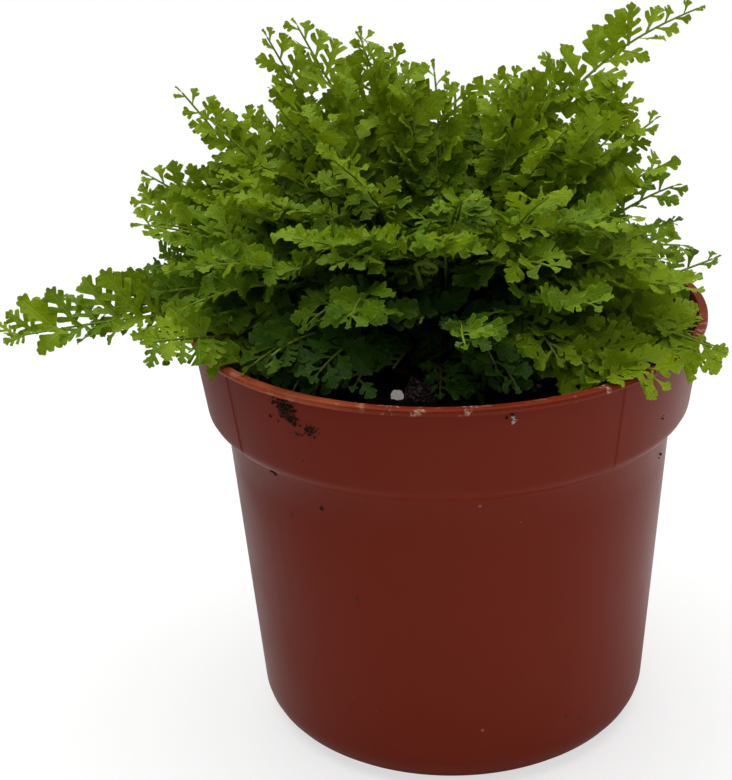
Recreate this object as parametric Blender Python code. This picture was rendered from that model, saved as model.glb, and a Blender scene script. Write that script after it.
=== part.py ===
# A young fern with crested, parsley-like fronds, growing in a round plastic nursery pot.
# Metres, +Z up. The origin is the middle of the pot's flat base, and -Y is the side that faces the viewer.

import math
import random
from collections import namedtuple

import bmesh
import bpy
from mathutils import Matrix, Vector
from mathutils.bvhtree import BVHTree

MM = 0.001
GAP = 0.3 * MM

# Pot: a tub with a deep collar, a small bead round its mouth and drain holes in its base
POT_HEIGHT = 101.5 * MM
MOUTH_RADIUS = 60 * MM
COLLAR_TOP_RADIUS = 59.1 * MM
COLLAR_FOOT_RADIUS = 56.6 * MM
COLLAR_FOOT = 79 * MM
BODY_TOP_RADIUS = 52.2 * MM
BASE_RADIUS = 47 * MM
BASE_CORNER = 9 * MM
WALL = 1.3 * MM
BEAD_HEIGHT = 1.4 * MM
BEAD_STEP = 0.6 * MM
RIM_ROUND = 0.5 * MM
INNER_LIP = 0.2 * MM
COLLAR_BEND = 2.5 * MM
COLLAR_TUCK = 1.2 * MM
INNER_BEND = 1.2 * MM
INNER_TUCK = 0.8 * MM
BODY_BEND = 2.2 * MM
POT_SIDES = 48
CORNER_STEPS = 4
PANEL_FROM = -144
PANEL_TO = -51
PANEL_DEPTH = 0.5 * MM
PANEL_EDGE = 0.8
DRAIN_COUNT = 8
DRAIN_RADIUS = 3.5 * MM
DRAIN_CIRCLE = 33 * MM
DRAIN_SIDES = 12

# Potting mix: fills the pot to a little under its mouth
SOIL_LEVEL = 91 * MM
SOIL_ROUGHNESS = 0.9 * MM
SOIL_SIDES = 36
SOIL_RINGS = 5

# Crown: the low scaly rootstock that carries every frond
CROWN_RADIUS = 17 * MM
CROWN_SKIRT = 3 * MM
CROWN_HEIGHT = 4 * MM
CROWN_SIDES = 24
CROWN_CENTRE = Vector((0, 2 * MM, 0))

# Fronds: a rachis that rises from the crown and arches outward, with leaflets on alternate sides
BARE_PART = 0.18
LEAFLET_SPACING = 6.6 * MM
RACHIS_BASE = 0.75 * MM
RACHIS_TIP = 0.32 * MM
LEAFLET_LEAN = 24
LEAFLET_SPREAD = 0.2
LEAFLET_SIZES = (1.0, 0.8, 0.6, 0.42)
LEAFLET_CLEARANCE = 0.4 * MM
WIDEST_PART = 0.42
PATH_STEPS = 48
WOBBLE = 4
RISE_WAVES = 8.0
RISE_PHASE = 1.7
TURN_WAVES = 7.0
TURN_PHASE = 2.9

# Angles in degrees and lengths in millimetres. A heading of 0 points to +X, 90 to +Y (away from the viewer).
# The bank rolls a frond about its own rachis: a positive one tips its upper face to the right as it grows.
Frond = namedtuple("Frond", "name heading root length rise_base rise_tip sweep fold leaflet bank")
PLACED_FRONDS = [
    Frond("frond_left_long", 187, 13, 91, 17, -13, -2, 30, 15, 30),
    Frond("frond_left_low", -155, 15.5, 70.5, 16.5, 12, 35, -8, 14, 40),
    Frond("frond_left_face", -166, 10, 69.5, 42, 13, -6, 22, 13, 35),
    Frond("frond_left_middle", 174, 12, 69, 36, 32, 4, 24, 13, 40),
    Frond("frond_left_back", 156, 15, 56, 34, 8, 0, 16, 13, 25),
    Frond("frond_left_curl", 167, 7, 79, 37, 55, 9, 20, 13, 40),
    Frond("frond_top_left", 143, 8, 77, 57, 66, 34, 18, 13, 40),
    Frond("frond_top_fork", 132, 5, 78, 66, 60, 36, 18, 13, 30),
    Frond("frond_top_middle", 114, 2, 66, 75, 63, 7, 16, 13, 10),
    Frond("frond_top_right", 77, 5.5, 56, 81, 66, 9, 16, 13, -20),
    Frond("frond_right_long", 19, 4, 98, 82, 16, 2, 28, 14, -45),
    Frond("frond_right_upper", 12, 9, 64, 68, 28, 0, 20, 13, -40),
    Frond("frond_right_middle", 8, 12, 55, 56, 13, 3, 20, 13, -40),
    Frond("frond_right_face", -5, 15.5, 51, 16, 19, 20.5, 18, 13, -35),
    Frond("frond_right_low", -34.5, 15.5, 56.1, 33, -21, 13, 0, 14, -30),
]

# The rest of the plant grows in whorls, each at regular headings with a little irregularity
Whorl = namedtuple("Whorl", "name headings root length rise_base rise_tip fold leaflet")
WHORLS = [
    Whorl("frond_front", (-136, -116, -96, -76), 16, 37, 26, -10, 4, 13),
    Whorl("frond_outer", (22, 50, 78, 106, 134), 15, 50, 39, -9, 6, 13),
    Whorl("frond_middle", (-140, -112, -84, -58, -36, 36, 62, 90, 118, 146), 11.5, 59, 46, 6, 14, 13),
    Whorl("frond_upper", (-174, -148, -122, -90, -66, -42, -18, 78, 108), 8, 60, 62, 24, 16, 13),
    Whorl("frond_inner", (-132, -78, -24, 46), 5, 56, 76, 38, 16, 12),
]
WHORL_HEADING_SPREAD = 3
WHORL_RISE_SPREAD = 6
WHORL_LENGTH_SPREAD = 5
SEED = 10

# Croziers: two young fronds still rolled up. Each leans out from the crown and coils towards its roll heading.
Crozier = namedtuple("Crozier", "name heading root height lean coil roll")
CROZIERS = [
    Crozier("crozier_front", -100, 11, 37, 42, 2.6, -15),
    Crozier("crozier_back", 200, 2, 13, 6, 2.2, 200),
]
CROZIER_THICKNESS = 0.8 * MM
CROZIER_TURNS = 1.4
CROZIER_TIGHTENING = 0.72
CROZIER_TAPER = 0.6
CROZIER_STEM_STEPS = 6
CROZIER_STEPS = 22
CROZIER_SIDES = 6

# Loose pieces lying on the mix in front: bark and white mineral grains
Chip = namedtuple("Chip", "name x y length width height turn")
CHIP_OUTLINE = [(-0.5, -0.3), (-0.1, -0.5), (0.45, -0.35), (0.5, 0.2), (0.1, 0.5), (-0.42, 0.3)]
CHIP_LEVELS = [(0, 1.0), (0.55, 0.94), (1, 0.6)]
CHIP_SLOPE = 0.35
CHIPS = [
    Chip("bark_chip_front", -5.9, -28.2, 7.2, 6.6, 4.8, 8),
    Chip("bark_chip_side", 43, -18, 9, 5, 3, 70),
]
Grain = namedtuple("Grain", "name x y radius")
GRAIN_LUMP = 0.16
GRAIN_SQUASH = 0.8
GRAIN_SUNK = 0.6
GRAINS = [
    Grain("mineral_grain_front", -11, -29.2, 1.25),
    Grain("mineral_grain_left", -34, -30, 1.3),
    Grain("mineral_grain_right", 36, -27, 1.4),
]

COLOURS = {
    "pot": ((0.30, 0.075, 0.045), 0.38),
    "mix": ((0.022, 0.014, 0.010), 0.95),
    "crown": ((0.075, 0.040, 0.018), 0.90),
    "frond": ((0.130, 0.260, 0.020), 0.50),
    "bark": ((0.050, 0.022, 0.014), 0.85),
    "mineral": ((0.640, 0.600, 0.540), 0.80),
}


def clear_scene():
    for old in list(bpy.data.objects):
        bpy.data.objects.remove(old, do_unlink=True)


def make_material(name, kind):
    colour, roughness = COLOURS[kind]
    material = bpy.data.materials.new(name)
    material.use_nodes = True
    shader = material.node_tree.nodes["Principled BSDF"]
    shader.inputs["Base Color"].default_value = (*colour, 1)
    shader.inputs["Roughness"].default_value = roughness
    shader.inputs["Metallic"].default_value = 0
    material.diffuse_color = (*colour, 1)
    return material


def add_object(name, kind, points, faces):
    mesh = bpy.data.meshes.new(name)
    mesh.from_pydata([tuple(p) for p in points], [], faces)
    mesh.update()
    piece = bpy.data.objects.new(name, mesh)
    bpy.context.scene.collection.objects.link(piece)
    mesh.materials.append(make_material(name + "_finish", kind))
    return piece


def smooth(mesh, angle):
    mesh.shade_smooth()
    mesh.set_sharp_from_angle(angle=math.radians(angle))


def ring_faces(first, second, count):
    # Quads between two rings of vertices, the first one above the second on an outer side
    return [
        (first + k, second + k, second + (k + 1) % count, first + (k + 1) % count)
        for k in range(count)
    ]


# Pot

def pot_angles():
    # Regular spacing, with a narrow pair of edges at each end of the collar's sunk front panel
    steps = {k * 360 / POT_SIDES - 180 for k in range(POT_SIDES)}
    for edge in (PANEL_FROM, PANEL_TO):
        steps = {a for a in steps if abs(a - edge) > 2 * PANEL_EDGE}
        steps |= {edge - PANEL_EDGE / 2, edge + PANEL_EDGE / 2}
    return sorted(steps)


def corner_arc(radius, height, bend):
    # Quarter round from the side wall down to the base, as (radius, height) pairs
    arc = []
    for k in range(CORNER_STEPS + 1):
        a = math.radians(90 * k / CORNER_STEPS)
        arc.append((radius - bend + bend * math.cos(a), height + bend - bend * math.sin(a)))
    return arc


def pot_profile():
    # Each row is (radius, height, share of the panel's depth), down the outside and up the inside
    outer = [
        (MOUTH_RADIUS - RIM_ROUND, POT_HEIGHT, 0),
        (MOUTH_RADIUS, POT_HEIGHT - RIM_ROUND, 0),
        (MOUTH_RADIUS, POT_HEIGHT - BEAD_HEIGHT, 0),
        (COLLAR_TOP_RADIUS, POT_HEIGHT - BEAD_HEIGHT - BEAD_STEP, 1),
        (COLLAR_FOOT_RADIUS, COLLAR_FOOT + COLLAR_BEND, 1),
        (COLLAR_FOOT_RADIUS - COLLAR_TUCK, COLLAR_FOOT, 0),
        (BODY_TOP_RADIUS, COLLAR_FOOT - BODY_BEND, 0),
    ]
    outer += [(r, z, 0) for r, z in corner_arc(BASE_RADIUS, 0, BASE_CORNER)]
    inner = [(r, z, 0) for r, z in corner_arc(BASE_RADIUS - WALL, WALL, BASE_CORNER - WALL)]
    inner.reverse()
    inner += [
        (BODY_TOP_RADIUS - WALL, COLLAR_FOOT - BODY_BEND, 0),
        (COLLAR_FOOT_RADIUS - WALL - INNER_TUCK, COLLAR_FOOT + INNER_BEND, 0),
        (COLLAR_TOP_RADIUS - WALL, POT_HEIGHT - BEAD_HEIGHT, 0),
        (COLLAR_TOP_RADIUS - WALL + INNER_LIP, POT_HEIGHT, 0),
    ]
    return outer, inner


def turned_solid(outer, inner, angles):
    # Rows run down the outside; a hollow one comes back up the inside, a full one closes on the axis
    count = len(angles)
    points = []
    faces = []

    def add_row(radius, height, share):
        for a in angles:
            sunk = share * PANEL_DEPTH if PANEL_FROM < a < PANEL_TO else 0
            r = radius - sunk
            points.append(Vector((r * math.cos(math.radians(a)), r * math.sin(math.radians(a)), height)))

    for row in outer:
        add_row(*row)
    for k in range(len(outer) - 1):
        faces += ring_faces(k * count, (k + 1) * count, count)
    centre = len(points)
    points.append(Vector((0, 0, outer[-1][1])))
    last = (len(outer) - 1) * count
    faces += [(last + k, centre, last + (k + 1) % count) for k in range(count)]
    start = len(points)
    for row in inner:
        add_row(*row)
    for k in range(len(inner) - 1):
        faces += ring_faces(start + k * count, start + (k + 1) * count, count)
    middle = len(points)
    points.append(Vector((0, 0, inner[0][1])))
    faces += [(start + (k + 1) % count, middle, start + k) for k in range(count)]
    faces += ring_faces(start + (len(inner) - 1) * count, 0, count)
    return points, faces


def make_drain_guide():
    # One guide with a short peg for each drain hole
    built = bmesh.new()
    for k in range(DRAIN_COUNT):
        a = 2 * math.pi * (k + 0.5) / DRAIN_COUNT
        place = Matrix.Translation((DRAIN_CIRCLE * math.cos(a), DRAIN_CIRCLE * math.sin(a), 0))
        bmesh.ops.create_cone(
            built, cap_ends=True, segments=DRAIN_SIDES, radius1=DRAIN_RADIUS,
            radius2=DRAIN_RADIUS, depth=6 * WALL, matrix=place,
        )
    mesh = bpy.data.meshes.new("drain_guide")
    built.to_mesh(mesh)
    built.free()
    guide = bpy.data.objects.new("drain_guide", mesh)
    bpy.context.scene.collection.objects.link(guide)
    guide.hide_render = True
    guide.display_type = "WIRE"
    return guide


def make_pot():
    outer, inner = pot_profile()
    points, faces = turned_solid(outer, inner, pot_angles())
    pot = add_object("pot", "pot", points, faces)
    cut = pot.modifiers.new("drain_holes", "BOOLEAN")
    cut.operation = "DIFFERENCE"
    cut.solver = "EXACT"
    cut.object = make_drain_guide()
    smooth(pot.data, 35)
    return pot


def inside_radius(height):
    # Radius of the pot's inner wall at a height above its corner
    rows = [(r, z) for r, z, _ in pot_profile()[1]][CORNER_STEPS:]
    for (r0, z0), (r1, z1) in zip(rows, rows[1:]):
        if z0 <= height <= z1:
            return r0 + (r1 - r0) * (height - z0) / (z1 - z0)
    return rows[-1][0]


# Potting mix and crown

def soil_height(x, y):
    # Low mounds and dips, level under the crown and lower by the wall
    from_crown = math.hypot(x, y - CROWN_CENTRE.y)
    fade = min(1, max(0, (from_crown - CROWN_RADIUS - CROWN_SKIRT) / (8 * MM)))
    wave = math.sin(x * 310 + 1.3) * math.cos(y * 260 - 0.4) + 0.6 * math.sin(x * 530 - y * 470)
    return SOIL_LEVEL + fade * SOIL_ROUGHNESS * (0.55 * wave - 0.7)


def make_soil():
    count = SOIL_SIDES
    angles = [2 * math.pi * k / count for k in range(count)]
    rows = [(r - GAP, z + GAP) for r, z in corner_arc(BASE_RADIUS - WALL, WALL, BASE_CORNER - WALL)]
    rows = rows[::2]
    rows.reverse()
    rows.append((BODY_TOP_RADIUS - WALL - GAP, COLLAR_FOOT - 2.2 * MM))
    top = SOIL_LEVEL
    points = []
    faces = []
    for r, z in rows:
        points += [Vector((r * math.cos(a), r * math.sin(a), z)) for a in angles]
    for ring in range(SOIL_RINGS):
        r = (inside_radius(top) - 2 * GAP) * (1 - ring / SOIL_RINGS)
        for a in angles:
            x, y = r * math.cos(a), r * math.sin(a)
            points.append(Vector((x, y, soil_height(x, y))))
    levels = len(rows) + SOIL_RINGS
    for k in range(levels - 1):
        faces += ring_faces((k + 1) * count, k * count, count)
    low = len(points)
    points.append(Vector((0, 0, rows[0][1])))
    high = len(points)
    points.append(Vector((0, 0, soil_height(0, 0))))
    faces += [(low, (k + 1) % count, k) for k in range(count)]
    last = (levels - 1) * count
    faces += [(high, last + k, last + (k + 1) % count) for k in range(count)]
    soil = add_object("potting_mix", "mix", points, faces)
    smooth(soil.data, 50)
    return soil


def make_crown():
    # A low knobbly mound with a level top, seated on the mix
    count = CROWN_SIDES
    base = SOIL_LEVEL + GAP
    rows = [
        (CROWN_RADIUS + CROWN_SKIRT, base),
        (CROWN_RADIUS + CROWN_SKIRT * 0.8, base + CROWN_HEIGHT * 0.45),
        (CROWN_RADIUS + CROWN_SKIRT * 0.3, base + CROWN_HEIGHT * 0.9),
        (CROWN_RADIUS, base + CROWN_HEIGHT),
    ]
    points = []
    faces = []
    for level, (r, z) in enumerate(rows):
        for k in range(count):
            a = 2 * math.pi * k / count
            knob = 1 + 0.05 * math.sin(5 * a + level) + 0.03 * math.sin(9 * a + 2 * level)
            points.append(CROWN_CENTRE + Vector((r * knob * math.cos(a), r * knob * math.sin(a), z)))
    for k in range(len(rows) - 1):
        faces += ring_faces((k + 1) * count, k * count, count)
    low = len(points)
    points.append(CROWN_CENTRE + Vector((0, 0, rows[0][1])))
    high = len(points)
    points.append(CROWN_CENTRE + Vector((0, 0, rows[-1][1])))
    faces += [(low, (k + 1) % count, k) for k in range(count)]
    last = (len(rows) - 1) * count
    faces += [(high, last + k, last + (k + 1) % count) for k in range(count)]
    crown = add_object("crown", "crown", points, faces)
    smooth(crown.data, 50)
    return crown


def root_level():
    # Height at which every frond starts, just clear of the crown's level top
    return SOIL_LEVEL + GAP + CROWN_HEIGHT + GAP


# Fronds

def all_fronds():
    chance = random.Random(SEED)
    fronds = list(PLACED_FRONDS)
    for whorl in WHORLS:
        for k, heading in enumerate(whorl.headings):
            rise = chance.uniform(-WHORL_RISE_SPREAD, WHORL_RISE_SPREAD)
            fronds.append(Frond(
                f"{whorl.name}_{k + 1}",
                heading + chance.uniform(-WHORL_HEADING_SPREAD, WHORL_HEADING_SPREAD),
                whorl.root + chance.uniform(-1, 1),
                whorl.length + chance.uniform(-WHORL_LENGTH_SPREAD, WHORL_LENGTH_SPREAD),
                whorl.rise_base + rise,
                whorl.rise_tip + rise,
                chance.uniform(-8, 8),
                whorl.fold,
                whorl.leaflet,
                0,
            ))
    return fronds


def rachis_path(frond, index):
    # Points and directions along the rachis, from the crown to the tip
    heading = math.radians(frond.heading)
    root = frond.root * MM
    place = Vector((root * math.cos(heading), root * math.sin(heading), root_level())) + CROWN_CENTRE
    step = frond.length * MM / PATH_STEPS
    points = [place.copy()]
    ways = []
    for k in range(PATH_STEPS):
        t = (k + 0.5) / PATH_STEPS
        swing = math.radians(WOBBLE) * t
        rise = math.radians(frond.rise_base + (frond.rise_tip - frond.rise_base) * t)
        rise += swing * math.sin(RISE_WAVES * t + RISE_PHASE * index)
        turn = heading + math.radians(frond.sweep) * t
        turn += swing * math.sin(TURN_WAVES * t + TURN_PHASE * index)
        way = Vector((math.cos(rise) * math.cos(turn), math.cos(rise) * math.sin(turn), math.sin(rise)))
        place = place + way * step
        points.append(place.copy())
        ways.append(way)
    ways.append(ways[-1])
    return points, ways


def at_share(path, t, bank):
    # Place, direction, side and upper face of the rachis at a share of its length
    points, ways = path
    x = min(t, 1) * PATH_STEPS
    k = min(int(x), PATH_STEPS - 1)
    place = points[k].lerp(points[k + 1], x - k)
    way = ways[k]
    side = way.cross(Vector((0, 0, 1))).normalized()
    upper = side.cross(way)
    roll = math.radians(bank)
    banked_side = side * math.cos(roll) + upper * math.sin(roll)
    banked_upper = upper * math.cos(roll) - side * math.sin(roll)
    return place, way, banked_side, banked_upper


def leaflet_share(t):
    # Leaflet length along the blade, as a share of the longest
    blade = (t - BARE_PART) / (1 - BARE_PART)
    grow = min(1, 0.5 + blade / 0.2)
    fade = 1 - ((blade - WIDEST_PART) / (1.08 - WIDEST_PART)) ** 2 if blade > WIDEST_PART else 1
    return max(0.14, grow * fade)


def rachis_rows(frond, path):
    # Four corners of the rachis at each row: upper left, upper right, lower right, lower left
    pairs = max(3, round(frond.length * MM * (1 - BARE_PART) / LEAFLET_SPACING))
    shares = [0, BARE_PART * 0.35, BARE_PART]
    shares += [BARE_PART + (1 - BARE_PART) * (k + 1) / (2 * pairs) for k in range(2 * pairs)]
    rows = []
    for t in shares:
        place, way, side, upper = at_share(path, t, frond.bank)
        half = RACHIS_BASE + (RACHIS_TIP - RACHIS_BASE) * t
        corners = [
            place - side * half + upper * half,
            place + side * half + upper * half,
            place + side * half - upper * half,
            place - side * half - upper * half,
        ]
        if t == 0:
            corners = [c + way * ((root_level() - c.z) / way.z) for c in corners]
        rows.append(corners)
    return shares, rows


def leaflet_corners(frond, path, t0, t1, side_sign, size):
    # The two outer corners of a leaflet that grows from the rachis between two rows
    place, way, side, upper = at_share(path, (t0 + t1) / 2, frond.bank)
    fold = math.radians(frond.fold)
    lean = math.radians(LEAFLET_LEAN)
    across = side * side_sign * math.cos(fold) + upper * math.sin(fold)
    out = across * math.cos(lean) + way * math.sin(lean)
    along = way * math.cos(lean) - across * math.sin(lean)
    length = frond.leaflet * MM * leaflet_share((t0 + t1) / 2) * size
    half = LEAFLET_SPREAD * length
    thick = out.cross(along).normalized()
    return place + out * length - along * half, place + out * length + along * half, thick


def leaflet_tree(row0, row1, side_sign, outer):
    # A slightly fattened copy of one leaflet, for testing what it would touch
    near, far, thick = outer
    low, high = (1, 2) if side_sign > 0 else (0, 3)
    base = [row0[low], row1[low], row1[high], row0[high]]
    out = ((near + far) / 2 - (row0[low] + row1[high]) / 2).normalized()
    grow = thick * LEAFLET_CLEARANCE
    reach = out * LEAFLET_CLEARANCE
    points = base + [near + reach + grow, far + reach + grow, far + reach - grow, near + reach - grow]
    faces = [(0, 1, 5, 4), (3, 2, 6, 7), (0, 4, 7, 3), (1, 5, 6, 2), (4, 5, 6, 7)]
    return BVHTree.FromPolygons(points, faces)


def rachis_faces(count):
    faces = [(3, 2, 1, 0)]
    for k in range(count - 1):
        a, b = 4 * k, 4 * (k + 1)
        faces += [(a, a + 1, b + 1, b), (a + 2, a + 3, b + 3, b + 2)]
    last = 4 * (count - 1)
    faces.append((last, last + 1, last + 2, last + 3))
    return faces


def side_corners(k, side_sign):
    # Upper and lower corner of the rachis on one side at row k, then lower and upper at row k + 1
    a, b = 4 * k, 4 * (k + 1)
    return (a + 1, a + 2, b + 2, b + 1) if side_sign > 0 else (a, a + 3, b + 3, b)


def side_quad(k, side_sign):
    corners = side_corners(k, side_sign)
    return corners if side_sign > 0 else tuple(reversed(corners))


def rachis_tree(rows):
    points = [c for row in rows for c in row]
    faces = rachis_faces(len(rows))
    for k in range(len(rows) - 1):
        faces += [side_quad(k, 1), side_quad(k, -1)]
    return BVHTree.FromPolygons(points, faces)


def make_frond(frond, index, path, shares, rows, others):
    # One closed body: the rachis and every leaflet that has room beside its neighbours
    points = [c for row in rows for c in row]
    faces = rachis_faces(len(rows))
    placed = []
    for k in range(len(rows) - 1):
        grows = 0
        if shares[k] >= BARE_PART:
            grows = 1 if (k + index) % 2 else -1
        for side_sign in (1, -1):
            chosen = None
            if side_sign == grows:
                for size in LEAFLET_SIZES:
                    outer = leaflet_corners(frond, path, shares[k], shares[k + 1], side_sign, size)
                    tree = leaflet_tree(rows[k], rows[k + 1], side_sign, outer)
                    if not any(tree.overlap(other) for other in others):
                        chosen = outer
                        placed.append(tree)
                        break
            if chosen is None:
                faces.append(side_quad(k, side_sign))
                continue
            near = len(points)
            points += [chosen[0], chosen[1]]
            top0, low0, low1, top1 = side_corners(k, side_sign)
            ring = [(top0, near, near + 1, top1), (low1, near + 1, near, low0)]
            ring += [(top0, low0, near), (low1, top1, near + 1)]
            if side_sign < 0:
                ring = [tuple(reversed(face)) for face in ring]
            faces += ring
    piece = add_object(frond.name, "frond", points, faces)
    return piece, placed


def mesh_tree(piece):
    mesh = piece.data
    return BVHTree.FromPolygons([v.co for v in mesh.vertices], [tuple(p.vertices) for p in mesh.polygons])


def make_fronds(others):
    fronds = all_fronds()
    plans = []
    for index, frond in enumerate(fronds):
        path = rachis_path(frond, index)
        shares, rows = rachis_rows(frond, path)
        plans.append((frond, index, path, shares, rows, rachis_tree(rows)))
    leaflets = {frond.name: [] for frond in fronds}
    for frond, index, path, shares, rows, _ in plans:
        near = list(others)
        near += [plan[5] for plan in plans if plan[0].name != frond.name]
        for name, trees in leaflets.items():
            if name != frond.name:
                near += trees
        piece, placed = make_frond(frond, index, path, shares, rows, near)
        leaflets[frond.name] = placed


# Croziers

def make_crozier(crozier):
    # A tube that leans out from the crown and rolls up into a tightening coil
    outward = Matrix.Rotation(math.radians(crozier.heading), 3, "Z") @ Vector((1, 0, 0))
    towards = Matrix.Rotation(math.radians(crozier.roll), 3, "Z") @ Vector((1, 0, 0))
    lean = math.radians(crozier.lean)
    way = outward * math.sin(lean) + Vector((0, 0, math.cos(lean)))
    side = way.cross(towards).normalized()
    foot = CROWN_CENTRE + outward * crozier.root * MM
    foot.z = root_level()
    stem = crozier.height * MM / CROZIER_STEM_STEPS
    centres = [foot + way * stem * k for k in range(CROZIER_STEM_STEPS + 1)]
    ways = [way.copy() for _ in centres]
    turn = 2 * math.pi * CROZIER_TURNS / CROZIER_STEPS
    for k in range(CROZIER_STEPS):
        bend = crozier.coil * MM * (1 - CROZIER_TIGHTENING * (k + 1) / CROZIER_STEPS)
        way = Matrix.Rotation(turn, 3, side) @ way
        centres.append(centres[-1] + way * bend * turn)
        ways.append(way)
    points = []
    faces = []
    total = len(centres)
    for k, (centre, way) in enumerate(zip(centres, ways)):
        thick = CROZIER_THICKNESS * (1 - CROZIER_TAPER * k / total)
        upper = side.cross(way)
        for j in range(CROZIER_SIDES):
            a = 2 * math.pi * j / CROZIER_SIDES
            point = centre + side * (thick * math.cos(a)) + upper * (thick * math.sin(a))
            if k == 0:
                point = point + way * ((root_level() - point.z) / way.z)
            points.append(point)
    for k in range(total - 1):
        faces += ring_faces(k * CROZIER_SIDES, (k + 1) * CROZIER_SIDES, CROZIER_SIDES)
    faces.append(tuple(range(CROZIER_SIDES)))
    faces.append(tuple(reversed(range((total - 1) * CROZIER_SIDES, total * CROZIER_SIDES))))
    piece = add_object(crozier.name, "frond", points, faces)
    smooth(piece.data, 60)
    return piece


# Loose pieces on the mix

def seat_height(x, y, radius):
    # Highest point of the mix under a small footprint, plus the seating gap
    around = [(0, 0)] + [(math.cos(a), math.sin(a)) for a in [math.radians(45 * k) for k in range(8)]]
    return max(soil_height(x + radius * c, y + radius * s) for c, s in around) + GAP


def make_chip(chip):
    # A split sliver: a six-sided block with one long edge worn away
    x, y = chip.x * MM, chip.y * MM
    length, width, height = chip.length * MM, chip.width * MM, chip.height * MM
    base = seat_height(x, y, length / 2)
    turn = math.radians(chip.turn)
    points = []
    for level, shrink in CHIP_LEVELS:
        for u, v in CHIP_OUTLINE:
            a, b = u * length * shrink, v * width * shrink
            lift = level * height * (1 - CHIP_SLOPE * u * level)
            points.append(Vector((
                x + a * math.cos(turn) - b * math.sin(turn),
                y + a * math.sin(turn) + b * math.cos(turn),
                base + lift,
            )))
    count = len(CHIP_OUTLINE)
    last = len(CHIP_LEVELS) - 1
    faces = [tuple(reversed(range(count)))]
    faces += [tuple(last * count + k for k in range(count))]
    for level in range(last):
        faces += ring_faces((level + 1) * count, level * count, count)
    return add_object(chip.name, "bark", points, faces)


def make_grain(grain):
    # A rough white pebble
    x, y, radius = grain.x * MM, grain.y * MM, grain.radius * MM
    base = seat_height(x, y, radius)
    built = bmesh.new()
    bmesh.ops.create_icosphere(built, subdivisions=1, radius=radius)
    for vertex in built.verts:
        wave = math.sin(2.1 * vertex.co.x / MM + 0.9 * grain.x) * math.cos(1.7 * vertex.co.y / MM)
        vertex.co *= 1 + GRAIN_LUMP * wave
        vertex.co.z = max(vertex.co.z * GRAIN_SQUASH, -GRAIN_SUNK * radius)
        vertex.co += Vector((x, y, base + GRAIN_SUNK * radius))
    mesh = bpy.data.meshes.new(grain.name)
    built.to_mesh(mesh)
    built.free()
    piece = bpy.data.objects.new(grain.name, mesh)
    bpy.context.scene.collection.objects.link(piece)
    mesh.materials.append(make_material(grain.name + "_finish", "mineral"))
    return piece


def build():
    clear_scene()
    solids = [make_pot(), make_soil(), make_crown()]
    solids += [make_crozier(crozier) for crozier in CROZIERS]
    solids += [make_chip(chip) for chip in CHIPS]
    solids += [make_grain(grain) for grain in GRAINS]
    make_fronds([mesh_tree(piece) for piece in solids])


build()
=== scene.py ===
import math
import random

import bmesh
import bpy
import numpy as np
from mathutils import Matrix, Vector, geometry, noise


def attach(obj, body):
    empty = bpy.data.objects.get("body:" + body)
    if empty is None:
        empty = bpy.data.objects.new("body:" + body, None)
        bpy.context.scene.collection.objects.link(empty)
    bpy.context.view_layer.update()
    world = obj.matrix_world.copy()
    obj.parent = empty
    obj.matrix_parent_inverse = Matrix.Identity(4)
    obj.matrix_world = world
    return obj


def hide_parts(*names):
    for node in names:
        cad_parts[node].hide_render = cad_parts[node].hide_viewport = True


# Young crested fern in a round nursery pot: the finished look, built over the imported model
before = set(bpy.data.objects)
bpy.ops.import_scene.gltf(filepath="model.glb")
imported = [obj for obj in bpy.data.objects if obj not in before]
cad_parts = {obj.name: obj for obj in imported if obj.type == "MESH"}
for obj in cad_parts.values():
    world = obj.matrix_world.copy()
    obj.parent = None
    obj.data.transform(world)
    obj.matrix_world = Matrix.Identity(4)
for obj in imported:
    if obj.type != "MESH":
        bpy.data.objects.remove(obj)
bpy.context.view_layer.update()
mm = 0.001
gap = 0.3 * mm
turnFull = 2 * math.pi


# Small tools used by every piece

def inMetres(values):
    return [v * mm for v in values]


def smoothStep(low, high, value):
    t = np.clip((value - low) / (high - low), 0, 1)
    return t * t * (3 - 2 * t)


def addMesh(name, points, faces, finish, node=None, smoothAngle=None):
    mesh = bpy.data.meshes.new(name)
    mesh.from_pydata([tuple(p) for p in points], [], faces)
    mesh.update()
    piece = bpy.data.objects.new(name, mesh)
    bpy.context.scene.collection.objects.link(piece)
    mesh.materials.append(finish)
    mesh.shade_smooth()
    if smoothAngle is not None:
        mesh.set_sharp_from_angle(angle=math.radians(smoothAngle))
    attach(piece, "root")
    if node:
        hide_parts(node)
    return piece


def bandFaces(rows, sides, first=0, flip=False):
    # Four-cornered faces between closed rows of points, in the order of the rows
    faces = []
    for low, high in zip(rows, rows[1:]):
        a, b = first + low * sides, first + high * sides
        for k in range(sides):
            n = (k + 1) % sides
            faces.append((a + k, b + k, b + n, a + n) if flip else (a + k, a + n, b + n, b + k))
    return faces


def endFace(row, sides, first=0, flip=False):
    # One face that closes a row
    corners = [first + row * sides + k for k in range(sides)]
    return tuple(reversed(corners)) if flip else tuple(corners)


def addNumbers(piece, name, values):
    store = piece.data.attributes.new(name, "FLOAT", "POINT")
    store.data.foreach_set("value", np.asarray(values, np.float32))


def addLeafMap(piece, flat):
    layer = piece.data.uv_layers.new(name="leafMap")
    corners = np.zeros(len(piece.data.loops), np.int32)
    piece.data.loops.foreach_get("vertex_index", corners)
    layer.data.foreach_set("uv", np.asarray(flat, np.float32)[corners].ravel())


# Node helpers

def startMaterial(name):
    material = bpy.data.materials.new(name)
    material.use_nodes = True
    nodes = material.node_tree.nodes
    return material, nodes, material.node_tree.links, nodes["Principled BSDF"]


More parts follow.
